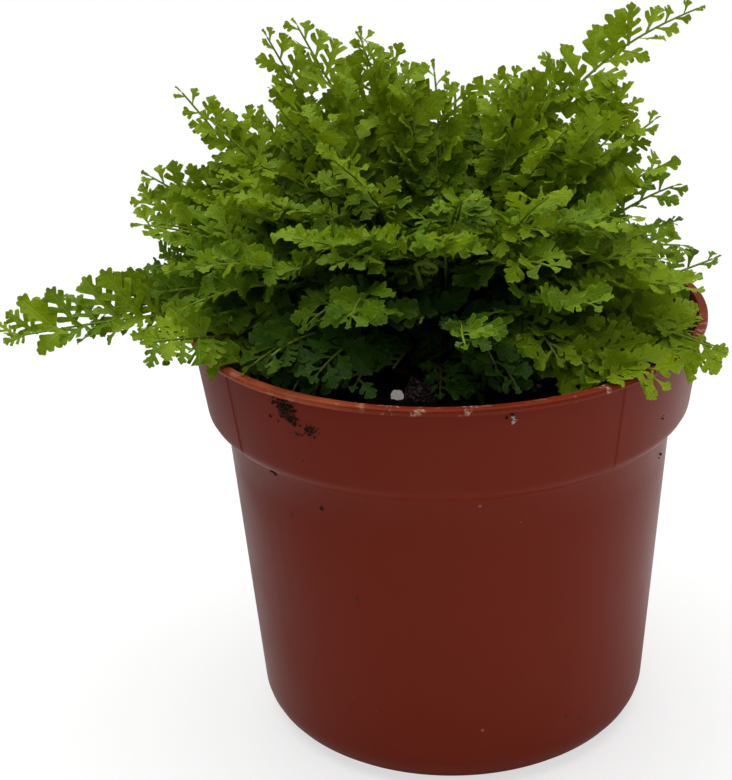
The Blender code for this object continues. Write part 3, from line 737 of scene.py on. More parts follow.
# Lobes are (start along the midrib, slant in degrees, length), and their radii run from root to wide end.
# Teeth are (reach, radius, how many, spread). The end is (where, radius, reach, radius of its three knobs).
leafletKinds = {
    "broad": {"lobes": ((0.11, 56, 0.22), (0.30, 46, 0.27), (0.51, 35, 0.23)), "root": 0.055, "wide": 0.085,
              "teeth": (0.072, 0.046, 3, 38), "blade": (0.050, 0.120), "end": (0.78, 0.075, 0.12, 0.055),
              "count": 4, "coarse": 1.0},
    "fingered": {"lobes": ((0.13, 52, 0.24), (0.32, 43, 0.29), (0.53, 34, 0.25)),
                 "root": 0.034, "wide": 0.062, "teeth": (0.060, 0.040, 2, 42), "blade": (0.040, 0.068),
                 "end": (0.78, 0.055, 0.12, 0.046), "count": 3, "coarse": 1.0},
    "wedge": {"lobes": ((0.29, 46, 0.27), (0.51, 36, 0.25)), "root": 0.042, "wide": 0.080,
              "teeth": (0.070, 0.046, 2, 48), "blade": (0.036, 0.088), "end": (0.76, 0.078, 0.12, 0.056),
              "count": 5, "coarse": 1.15},
    "fan": {"lobes": ((0.45, 42, 0.28),), "root": 0.052, "wide": 0.102,
            "teeth": (0.080, 0.058, 2, 50), "blade": (0.042, 0.11), "end": (0.74, 0.095, 0.11, 0.070),
            "count": 4, "coarse": 1.4},
    "bud": {"lobes": (), "root": 0.05, "wide": 0.10,
            "teeth": (0.0, 0.0, 0, 0), "blade": (0.06, 0.15), "end": (0.70, 0.12, 0.15, 0.10),
            "count": 3, "coarse": 1.9},
}


def rodDistance(p, a, b, ra, rb):
    a, b = np.array(a, float), np.array(b, float)
    ab = b - a
    t = np.clip(((p - a) @ ab) / max(ab @ ab, 1e-9), 0, 1)
    return np.linalg.norm(p - a - t[..., None] * ab, axis=-1) - (ra + (rb - ra) * t)


def softJoin(d1, d2, k):
    h = np.clip(0.5 + 0.5 * (d2 - d1) / k, 0, 1)
    return d2 * (1 - h) + d1 * h - k * h * (1 - h)


def leafletField(p, chance, kind):
    # Below zero inside the leaflet, which runs from (0, 0) to about (1, 0)
    stalk, blade = kind["blade"]
    at, wide, reach, knob = kind["end"]
    first, second = (leaflet["stalkTo"], 0), (leaflet["bladeTo"], 0)
    d = rodDistance(p, (-0.03, 0), first, 0.034, stalk)
    d = softJoin(d, rodDistance(p, first, second, stalk, blade), 0.03)
    d = softJoin(d, rodDistance(p, second, (at, 0), blade, wide), 0.03)
    for k in (-1, 0, 1):
        a = math.radians(44 * k + chance.uniform(-7, 7))
        g = (reach * 1.12 if k == 0 else reach) * chance.uniform(0.88, 1.12)
        d = softJoin(d, rodDistance(p, (at, 0), (at + g * math.cos(a), g * math.sin(a)), wide, knob), 0.014)
    tooth, blunt, count, spread = kind["teeth"]
    for x, slant, length in kind["lobes"]:
        for s in (1, -1):
            start = x + 0.04 * s + chance.uniform(-0.015, 0.015)
            a = math.radians(slant + chance.uniform(-6, 6))
            grown = length * chance.uniform(0.82, 1.14)
            end = (start + grown * math.cos(a), s * grown * math.sin(a))
            d = softJoin(d, rodDistance(p, (start, 0), end, kind["root"], kind["wide"]), 0.024)
            for k in range(count):
                b = a + math.radians(spread * (k - (count - 1) / 2) + chance.uniform(-8, 8))
                g = tooth * chance.uniform(0.85, 1.15)
                tip = (end[0] + g * math.cos(b), end[1] + s * g * math.sin(b))
                d = softJoin(d, rodDistance(p, end, tip, kind["wide"] * 0.8, blunt), 0.014)
    return d


def edgeLoop(field, xs, ys):
    # The longest closed line where field passes through zero
    links, places = {}, {}
    for i in range(len(xs) - 1):
        for j in range(len(ys) - 1):
            corners = ((i, j), (i + 1, j), (i + 1, j + 1), (i, j + 1))
            if min(field[c] for c in corners) >= 0 or max(field[c] for c in corners) < 0:
                continue
            leave, enter = [], []
            for k in range(4):
                a, b = corners[k], corners[(k + 1) % 4]
                va, vb = field[a], field[b]
                if (va < 0) != (vb < 0):
                    key, t = (min(a, b), max(a, b)), va / (va - vb)
                    places[key] = (xs[a[0]] + (xs[b[0]] - xs[a[0]]) * t, ys[a[1]] + (ys[b[1]] - ys[a[1]]) * t)
                    (leave if va < 0 else enter).append(key)
            for key, other in zip(leave, enter):
                links[key] = other
    best = []
    while links:
        key = next(iter(links))
        loop = []
        while key in links:
            loop.append(places[key])
            key = links.pop(key)
        if len(loop) > len(best):
            best = loop
    return np.array(best)


def trimLoop(loop, slack):
    # Fewer points on a closed line, none more than slack away from the first one
    keep = np.zeros(len(loop), bool)
    far = int(np.argmax(np.linalg.norm(loop - loop[0], axis=1)))
    keep[[0, far]] = True
    jobs = [(0, far), (far, len(loop))]
    while jobs:
        low, high = jobs.pop()
        if high - low < 2:
            continue
        a, b = loop[low], loop[high % len(loop)]
        along = (b - a) / max(np.linalg.norm(b - a), 1e-9)
        between = loop[low + 1:high] - a
        away = np.abs(between[:, 0] * along[1] - between[:, 1] * along[0])
        k = int(np.argmax(away))
        if away[k] > slack:
            keep[low + 1 + k] = True
            jobs += [(low, low + 1 + k), (low + 1 + k, high)]
    return loop[keep]


def cutSheet(kind, seed):
    step, coarse = leaflet["cell"], kind["coarse"]
    xs, ys = np.arange(-0.12, 1.12, step), np.arange(-0.52, 0.53, step)
    grid = np.stack(np.meshgrid(xs, ys, indexing="ij"), -1)
    loop = trimLoop(edgeLoop(leafletField(grid, random.Random(seed), kind), xs, ys), leaflet["trim"] * coarse)
    inner = []
    wide = leaflet["inside"] * coarse
    for i in range(-1, int(1.1 / wide) + 1):
        for j in range(-7, 8):
            place = np.array([(i + 0.5 * (j % 2)) * wide, j * wide * 0.866])
            if leafletField(place, random.Random(seed), kind) < -0.026:
                inner.append(place)
    everything = [Vector(p) for p in list(loop) + inner]
    edges = [(k, (k + 1) % len(loop)) for k in range(len(loop))]
    flat, _, triangles, _, _, _ = geometry.delaunay_2d_cdt(everything, edges, [], 1, 1e-6)
    atEdge = np.zeros(len(flat))
    atEdge[:len(loop)] = 1
    return np.array([tuple(p) for p in flat]), np.array([tuple(t) for t in triangles]), atEdge


def makeSheets():
    made = {}
    for k, (name, kind) in enumerate(leafletKinds.items()):
        made[name] = [cutSheet(kind, leaflet["seed"] + 31 * k + j) for j in range(kind["count"])]
    return made


def pickKind(leafLength, chance, slender):
    size = leafLength / mm
    if slender and size > leaflet["slenderFrom"]:
        return "broad" if chance.random() < leaflet["slenderShare"] else "fingered"
    if size > leaflet["largeFrom"]:
        return "broad" if chance.random() < leaflet["broadShare"] else "fingered"
    if size > leaflet["wedgeFrom"]:
        return "wedge"
    return "fan" if size > leaflet["fanFrom"] else "bud"


sheets = makeSheets()
print("leaflet sheets:", {k: [len(s[1]) for s in v] for k, v in sheets.items()})


def bendSheet(flat, bend, fold, ruffle, twist, phase):
    # Leaflet shape in its own axes: along its midrib, across it, and up
    x, y = flat[:, 0], flat[:, 1]
    away = np.abs(y)
    turn = bend * x
    if abs(bend) > 1e-3:
        run, rise = np.sin(turn) / bend, (1 - np.cos(turn)) / bend
    else:
        run, rise = x, 0 * x
    side = y * math.cos(fold)
    lift = away * math.sin(fold)
    # the edge is ruffled in two waves, one coarse and one fine
    edge = smoothStep(0.05, 0.36, away) + 0.6 * smoothStep(0.7, 1.0, x)
    lift = lift + ruffle * edge * np.sin(13.0 * x + 3.0 * np.sign(y) + phase)
    lift = lift + 0.4 * ruffle * edge * np.sin(29.0 * x + 17.0 * y + 2 * phase)
    spin = twist * x
    side, lift = side * np.cos(spin) - lift * np.sin(spin), side * np.sin(spin) + lift * np.cos(spin)
    return np.stack([run - lift * np.sin(turn), side, rise + lift * np.cos(turn)], 1)


# Fronds

fern = {
    "bare": 0.18, "stemBase": 0.55, "stemTip": 0.20, "stemSides": 6, "lean": 34, "widest": 0.30,
    "steps": 48, "wobble": 4, "seed": 10,
    "brown": {"frond_left_low": 0.9},  # stems that are browner than the others, and by how much
    # leaflets lean forward along the frond, more towards its tip, and lift off its plane, in degrees
    "leanSpread": 12, "liftSpread": (-16, 20),
    # how far leaflets turn to face the light: share, most in radians, random part in degrees
    "faceOut": 0.6, "mostTurn": 1.05, "turnSpread": 34,
    # the way they face is outward from the crown, x, y, z: placedFacing on the fronds placed one by one,
    # and on all others from facing to highFacing between two heights in mm
    "placedFacing": (0.15, 0.0, -0.85, 0.45),
    "facing": (0.7, 0.0, -0.30, 0.62), "highFacing": (0.5, 0.0, -0.65, 0.30), "highFrom": 108, "highTo": 132,
    # small fronds are numbered from smallFrom, and those with a place of their own from ownFrom
    "smallFrom": 200, "ownFrom": 300, "leafSeed": 100, "smallSeed": 8,
    "rows": 36, "smallRows": 20, "ownRows": 24,  # rows of points along a stem
    # share of its leaflet left at the tip, how late it tapers, size of its leaflets, their spacing in mm,
    # how slowly they grow
    "plainTaper": (0.32, 1.7, 1.0, 4.7, 0.2), "ownTaper": (0.42, 2.2, 1.0, 4.5, 0.25),
    "tapers": {
        "frond_left_long": (0.16, 5.5, 0.95, 5.0, 1.1), "frond_left_low": (0.42, 2.4, 0.84, 4.8, 0.5),
        "frond_right_low": (0.40, 2.6, 0.95, 5.4, 0.3), "frond_left_curl": (0.13, 1.7, 1.1, 5.0, 0.2),
        "frond_left_middle": (0.22, 1.9, 1.05, 4.9, 0.2), "frond_left_back": (0.28, 2.0, 1.0, 5.0, 0.2),
        "frond_left_face": (0.28, 2.0, 1.0, 5.0, 0.2), "frond_top_left": (0.16, 2.2, 1.1, 5.0, 0.2),
        "frond_top_fork": (0.18, 2.2, 1.15, 5.0, 0.2), "frond_top_middle": (0.28, 2.0, 1.0, 4.9, 0.2),
        "frond_right_long": (0.12, 2.2, 0.98, 5.0, 0.7), "frond_right_upper": (0.18, 1.9, 1.0, 5.0, 0.2),
        "frond_right_middle": (0.22, 1.9, 1.0, 5.0, 0.2), "frond_right_face": (0.22, 1.5, 0.9, 5.4, 0.4),
        "rightHighOne": (0.60, 2.4, 1.1, 4.8, 0.25), "rightHighThree": (0.65, 2.4, 1.1, 5.0, 0.25),
    },
    "slender": ("frond_left_long", "frond_left_low"),  # only narrow leaflets
    # leaflets on a frond's under side that are smaller: which side, share
    "under": {"frond_left_long": (-1, 0.75), "frond_right_long": (1, 0.8)},
    # painted light and shade: where the leaves are painted lighter or darker, in mm: rising with height, to
    # the upper left, in the upper middle, at the right front, and painted shade in the hollow at the front
    "tone": {
        "base": 0.08, "spread": 0.22, "height": (104, 148, 0.70), "left": (-18, -50, 106, 124, 0.15),
        "centre": (-3, 30, 131, 149, 0.48), "right": (10, 36, 4, -16, 0.70), "rightHigh": (110, 124, 0.7),
        "hollow": (-5, 34, 120, 102, -4, -24), "hollowShadeDepth": 0.60,
    },
    # painted light: fronds painted lighter than the others, and by how much
    "paintedLight": {
        "frond_left_long": 0.45, "frond_left_low": 0.34, "frond_right_low": 0.35, "frond_right_face": 0.15,
        "frond_left_face": 0.05,
    },
}

# name: heading, root, length, rise at base, rise at tip, sweep, fold, leaflet, bank (degrees and millimetres)
placedFronds = {
    "frond_left_long": (187, 13, 91, 17, -13, -2, 30, 15, 30),
    "frond_left_low": (-155, 15.5, 70.5, 16.5, 12, 35, -8, 14, 40),
    "frond_left_face": (-166, 10, 69.5, 42, 13, -6, 22, 13, 35),
    "frond_left_middle": (174, 12, 69, 36, 32, 4, 24, 13, 40),
    "frond_left_back": (156, 15, 56, 34, 8, 0, 16, 13, 25),
    "frond_left_curl": (167, 7, 79, 37, 55, 9, 20, 13, 40),
    "frond_top_left": (143, 8, 77, 57, 66, 34, 18, 13, 40),
    "frond_top_fork": (132, 5, 78, 66, 60, 36, 18, 13, 30),
    "frond_top_middle": (114, 2, 66, 75, 63, 7, 16, 13, 10),
    "frond_top_right": (77, 5.5, 56, 81, 66, 9, 16, 13, -20),
    "frond_right_long": (19, 4, 98, 82, 16, 2, 28, 14, -45),
    "frond_right_upper": (12, 9, 64, 68, 28, 0, 20, 13, -40),
    "frond_right_middle": (8, 12, 55, 56, 13, 3, 20, 13, -40),
    "frond_right_face": (-5, 15.5, 51, 16, 19, 20.5, 18, 13, -35),
    "frond_right_low": (-34.5, 15.5, 56.1, 33, -21, 13, 0, 14, -30),
}
# name: headings, root, length, rise at base, rise at tip, fold, leaflet
whorls = {
    "frond_front": ((-136, -116, -96, -76), 16, 37, 26, -10, 4, 13),
    "frond_outer": ((22, 50, 78, 106, 134), 15, 50, 39, -9, 6, 13),
    "frond_middle": ((-140, -112, -84, -58, -36, 36, 62, 90, 118, 146), 11.5, 59, 46, 6, 14, 13),
    "frond_upper": ((-174, -148, -122, -90, -66, -42, -18, 78, 108), 8, 60, 62, 24, 16, 13),
    "frond_inner": ((-132, -78, -24, 46), 5, 56, 76, 38, 16, 12),
}
headingSpread, riseSpread, lengthSpread = 3, 6, 5


def allFronds():
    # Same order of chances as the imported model, so that every frond lies on its solid
    chance = random.Random(fern["seed"])
    fronds = [(name, *values) for name, values in placedFronds.items()]
    for name, (headings, root, length, riseBase, riseTip, fold, size) in whorls.items():
        for k, heading in enumerate(headings):
            rise = chance.uniform(-riseSpread, riseSpread)
            fronds.append((
                f"{name}_{k + 1}",
                heading + chance.uniform(-headingSpread, headingSpread),
                root + chance.uniform(-1, 1),
                length + chance.uniform(-lengthSpread, lengthSpread),
                riseBase + rise, riseTip + rise, chance.uniform(-8, 8), fold, size, 0,
            ))
    return fronds


def stemPath(frond, index):
    _, heading, root, length, riseBase, riseTip, sweep, _, _, _ = frond
    start, root = math.radians(heading), root * mm
    place = Vector((root * math.cos(start), root * math.sin(start) + crown["y"] * mm, rootLevel))
    step = length * mm / fern["steps"]
    points, ways = [place.copy()], []
    for k in range(fern["steps"]):
        t = (k + 0.5) / fern["steps"]
        swing = math.radians(fern["wobble"]) * t
        rise = math.radians(riseBase + (riseTip - riseBase) * t) + swing * math.sin(8.0 * t + 1.7 * index)
        turn = start + math.radians(sweep) * t + swing * math.sin(7.0 * t + 2.9 * index)
        way = Vector((math.cos(rise) * math.cos(turn), math.cos(rise) * math.sin(turn), math.sin(rise)))
        place = place + way * step
        points.append(place.copy())
        ways.append(way)
    ways.append(ways[-1])
    return points, ways


def atShare(path, t, bank):
    points, ways = path
    x = min(t, 1) * fern["steps"]
    k = min(int(x), fern["steps"] - 1)
    way = ways[k].lerp(ways[k + 1], x - k).normalized()
    side = way.cross(Vector((0, 0, 1))).normalized()
    upper = side.cross(way)
    turn = math.radians(bank)
    across = side * math.cos(turn) + upper * math.sin(turn)
    upper = upper * math.cos(turn) - side * math.sin(turn)
    return points[k].lerp(points[k + 1], x - k), way, across, upper


def inShadedHollow(place):
    # share of the painted shade in the hollow at the front: 1 deep in it, 0 outside it
    x, y, z = place / mm
    middle, wide, top, foot, back, front = fern["tone"]["hollow"]
    low = (1 - smoothStep(foot, top, z)) * (1 - smoothStep(front, back, y))
    return float(low * (1 - smoothStep(0.5 * wide, wide, abs(x - middle))))


def paintedLightAt(place):
    # How light a leaflet is painted, as painted light and shade, from the places that fern["tone"] lists
    x, y, z = place / mm
    plan = fern["tone"]
    low, high, amount = plan["height"]
    tone = plan["base"] + amount * smoothStep(low, high, z)
    near, far, low, high, amount = plan["left"]
    tone += amount * (1 - smoothStep(far, near, x)) * smoothStep(low, high, z)
    near, far, back, front, amount = plan["right"]
    low, high, less = plan["rightHigh"]
    tone += (amount * smoothStep(near, far, x) * (1 - smoothStep(front, back, y))
             * (1 - less * smoothStep(low, high, z)))
    middle, wide, low, high, amount = plan["centre"]
    tone += amount * (1 - smoothStep(0.5 * wide, wide, abs(x - middle))) * smoothStep(low, high, z)
    return float(tone - plan["hollowShadeDepth"] * inShadedHollow(place))


def leafletShare(t, tip, curve, ramp):
    blade = (t - fern["bare"]) / (1 - fern["bare"])
    grow = min(1, 0.5 + blade / ramp)
    fade = 1 - (1 - tip) * max(0, (blade - fern["widest"]) / (1 - fern["widest"])) ** curve
    return grow * fade


# What leaflets lie on, in mm. Inside: height over the mix, rise to the rim, between these two radii.
# Outside: height of the rim, how steeply it falls, from this radius. The two meet at a radius on the wall.
resting = {"inside": (91.4, 10.7, 50.5, 56.6), "outside": (102.1, 3.2, 60.9), "meet": 57}


def restHeight(radius):
    # Lowest place for a leaflet over the mix, the wall and the rim, radius in metres
    radius = radius / mm
    height, rise, low, high = resting["inside"]
    inside = height + rise * smoothStep(low, high, radius)
    height, fall, rim = resting["outside"]
    outside = height - fall * np.clip(radius - rim, 0, None)
    return np.where(radius < resting["meet"], inside, outside) * mm


# Gaps left open in the leaves, over the bark and the young coil: start, radius, in mm
openGaps = (((-8, -30, 94), 5.0), ((-6.6, -35.3, 121.6), 3.2), ((-2, -30, 104), 5.5))
gapWay = Vector((-0.04, -0.92, 0.39)).normalized()
# Gaps that go right through, as seen from one place in front: x, z on the middle plane, radius
seenFrom = (0, -402.3, 252.3)
skyGaps = (
    (-27.5, 151.2, 0.5), (-25.2, 145.6, 0.6), (-24.0, 140.0, 0.5), (-36.2, 140.3, 0.6), (-16.0, 153.0, 0.3),
    (-2.2, 145.0, 1.0), (26.9, 144.6, 0.3), (36.2, 140.4, 0.8), (34.1, 131.6, 0.5),
    (40.3, 124.7, 1.0), (44.4, 124.6, 1.2), (47.8, 123.4, 1.2),
    (58.7, 100.3, 2.2), (58.4, 95.3, 1.8), (63.4, 97.7, 2.4), (62.6, 93.2, 1.0),
)


def inGap(place, reach):
    near = Vector(seenFrom) * mm
    for x, z, radius in skyGaps:
        way = (Vector((x, 0, z)) * mm - near).normalized()
        away = place - near
        if (away - way * away.dot(way)).length < radius * mm + 0.7 * reach:
            return True
    for start, radius in openGaps:
        away = place - Vector(start) * mm
        along = away.dot(gapWay)
        if -2 * mm < along < 60 * mm and (away - gapWay * along).length < radius * mm + reach:
            return True
    return False


def startStore():
    return {"points": [], "faces": [], "flat": [], "tones": [], "edges": [], "kinds": [], "count": 0}


def keepPart(store, points, faces, kind, tones, flat, edges):
    # faces are counted from this part's own first point; kind is 1 for a stem and 0 for a leaflet
    first = store["count"]
    store["points"].append(points)
    store["faces"] += [tuple(int(i) + first for i in face) for face in faces]
    store["kinds"] += [kind] * len(faces)
    store["tones"] += tones
    store["flat"] += flat
    store["edges"] += edges
    store["count"] += len(points)


def growStem(store, path, stop, bank, rows, age):
    # The midrib is greener towards its tip, and painted darker in the hollow as painted shade
    sides = fern["stemSides"]
    points, tones = [], []
    for k in range(rows):
        t = stop * k / (rows - 1)
        place, _, side, upper = atShare(path, t, bank)
        thick = (fern["stemBase"] + (fern["stemTip"] - fern["stemBase"]) * t) * mm
        for j in range(sides):
            a = turnFull * (j + 0.5) / sides
            dent = 0.7 if j == 1 else 1.0  # the groove along the upper face
            points.append(place + (side * math.cos(a) + upper * math.sin(a) * dent) * thick)
            tones.append(min(1, max(0, age + 1.3 * k / rows)) * (1 - inShadedHollow(place)))
    faces = bandFaces(range(rows), sides) + [endFace(0, sides, flip=True), endFace(rows - 1, sides)]
    keepPart(store, np.array(points), faces, 1, tones, [(0, 0.5)] * len(points), [0] * len(points))


def leafletAxes(place, way, side, upper, sign, t, fold, placed, chance):
    # Out along the leaflet, along the frond and up from the leaflet, turned towards the light
    spread = fern["leanSpread"]
    lean = math.radians(fern["lean"] + chance.uniform(-spread, spread) + spread * max(0, t - 0.6) / 0.4)
    lift = math.radians(fold) + math.radians(chance.uniform(*fern["liftSpread"]))
    across = side * sign * math.cos(lift) + upper * math.sin(lift)
    out = across * math.cos(lean) + way * math.sin(lean)
    along = way * math.cos(lean) - across * math.sin(lean)
    up = out.cross(along) * sign
    facing = fern["placedFacing"]
    if not placed:
        high = float(smoothStep(fern["highFrom"], fern["highTo"], place.z / mm))
        facing = Vector(fern["facing"]).lerp(Vector(fern["highFacing"]), high)
    outward = Vector((place.x, place.y - crown["y"] * mm, 0)).normalized() * facing[0]
    outward += Vector(facing[1:])
    target = outward - out * outward.dot(out)
    turn = math.atan2(out.dot(up.cross(target)), up.dot(target))
    turn = max(-fern["mostTurn"], min(fern["mostTurn"], turn)) * fern["faceOut"]
    turn += math.radians(chance.uniform(-fern["turnSpread"], fern["turnSpread"]))
    spin = Matrix.Rotation(turn, 3, out)
    return out, spin @ along, spin @ up


def growFrond(store, frond, index, rows, paintedLight=0.0):
    # Adds one frond, stem and leaflets, to the lists in store
    name, _, _, length, _, _, _, foldDegrees, size, bank = frond
    path = stemPath(frond, index)
    chance = random.Random(fern["leafSeed"] + index)
    small = index >= fern["smallFrom"]
    plain = fern["ownTaper"] if index >= fern["ownFrom"] else fern["plainTaper"]
    tip, curve, larger, spacing, ramp = fern["tapers"].get(name, plain)
    paintedLight += fern["paintedLight"].get(name, 0)
    underSide, underShare = fern["under"].get(name, (0, 1))
    size = size * larger
    lastLeaf = max(size * tip * 0.9, 2.2)
    stop = 1 - 0.9 * lastLeaf / length
    if small:  # a small frond ends where it comes to a gap
        cut = [t for t in np.linspace(0.45, stop, 24) if inGap(atShare(path, t, bank)[0], 0)]
        stop = cut[0] if cut else stop
    # age sets the stem's colour; browner stems, and fronds painted darker as shade, get a lower age
    age = chance.uniform(0.0, 0.4) - fern["brown"].get(name, 0) + min(0, 3 * paintedLight)
    growStem(store, path, stop, bank, rows, age)
    bare, spread = fern["bare"], fern["tone"]["spread"]
    leaves = 2 * max(4, round(length * (1 - bare) / spacing))
    places = [(bare + (stop - bare) * (j + 0.5) / leaves, 1 if (j + index) % 2 else -1)
              for j in range(leaves)]
    for t, sign in places + [(stop, 0)]:
        place, way, side, upper = atShare(path, t, bank)
        leafLength = size * mm * leafletShare(t, tip, curve, ramp) * chance.uniform(*leaflet["length"])
        if sign == underSide:
            leafLength *= underShare
        if sign == 0:  # the leaflet at the tip
            out, along, up = way, side, upper
            leafLength = lastLeaf * mm
        else:
            placed = name in placedFronds
            out, along, up = leafletAxes(place, way, side, upper, sign, t, foldDegrees, placed, chance)
        kind = pickKind(leafLength, chance, name in fern["slender"])
        sheet, triangles, atEdge = chance.choice(sheets[kind])
        bend, fold = chance.uniform(*leaflet["bend"]), math.radians(chance.uniform(*leaflet["fold"]))
        ruffle, twist = chance.uniform(*leaflet["ruffle"]), chance.uniform(*leaflet["twist"])
        shaped = bendSheet(sheet, bend, fold, ruffle, twist, chance.uniform(0, 6.28))
        if inGap(place + out * 0.55 * leafLength, 0.3 * leafLength):  # little grows over a gap
            if small:
                continue
            leafLength *= 0.4
        shaped = shaped * leafLength
        world = np.array(place + out * 0.1 * mm) + shaped[:, :1] * np.array(out)
        world = world + shaped[:, 1:2] * np.array(along) + shaped[:, 2:] * np.array(up)
        radius = np.hypot(world[:, 0], world[:, 1])
        world[:, 2] = np.maximum(world[:, 2], restHeight(radius) + 0.3 * mm * chance.random())
        # painted light and shade for the leaflet's place and frond, greener towards the tip, and a random
        # tone
        tone = paintedLightAt(place) + paintedLight + 0.15 * t + chance.uniform(-spread, spread)
        flat = [(float(u), float(v) + 0.5) for u, v in sheet]
        keepPart(store, world, triangles, 0, [tone] * len(sheet), flat, list(atEdge))


def finishFronds(name, store, node=None):
    piece = addMesh(name, np.concatenate(store["points"]), store["faces"], leafFinish, node)
    piece.data.materials.append(stemFinish)
    piece.data.polygons.foreach_set("material_index", np.array(store["kinds"], np.int32))
    addNumbers(piece, "tone", store["tones"])
    addNumbers(piece, "edgeLight", store["edges"])
    addLeafMap(piece, store["flat"])
    print(name, len(piece.data.polygons))


for index, frond in enumerate(allFronds()):
    store = startStore()
    growFrond(store, frond, index, fern["rows"])
    finishFronds("leafy_" + frond[0], store, frond[0])

# Small fronds that fill the plant between the others; zone: first and last heading, count, root,
# length, rise at base, rise at tip, fold, leaflet
fillers = {
    "skirtLeft": (-174, -122, 9, 12, 49, 46, -40, 8, 11),
    "skirtFront": (-92, -74, 2, 12, 44, 52, -32, 8, 11),
    "skirtRight": (-60, -22, 3, 12, 43, 56, -26, 8, 11),
    "overLeftRim": (166, 224, 7, 12, 60, 42, -22, 12, 12),
    "overRightRim": (-42, -8, 4, 13, 52, 34, -22, 10, 12),
    "faceLow": (-162, -18, 10, 10, 55, 64, -20, 12, 12),
    "faceMiddle": (-156, -24, 9, 9, 56, 70, -4, 14, 12),
    "faceHigh": (-168, -12, 9, 7, 56, 76, 10, 14, 12),
    "leftMass": (150, 214, 9, 9, 60, 60, 10, 16, 12),
    "leftHigh": (148, 192, 6, 7, 65, 66, 44, 18, 11),
    "rightMass": (-36, 34, 8, 9, 54, 66, 8, 14, 12),
    "rightHigh": (-12, 26, 6, 6, 65, 76, 44, 16, 11),
    "topLeft": (112, 168, 8, 5, 66, 80, 54, 16, 11),
    "topMiddle": (86, 150, 6, 4, 60, 86, 64, 16, 11),
    "topRight": (8, 62, 4, 6, 56, 76, 40, 16, 11),
    "backMass": (30, 150, 7, 9, 55, 60, 0, 14, 12),
}
fillerPieces = {
    "small_fronds_front": ("skirtLeft", "skirtFront", "skirtRight", "faceLow", "faceMiddle", "overRightRim"),
    "small_fronds_sides": ("overLeftRim", "leftMass", "leftHigh", "rightMass", "backMass"),
    "small_fronds_top": ("faceHigh", "rightHigh", "topLeft", "topMiddle", "topRight"),
}
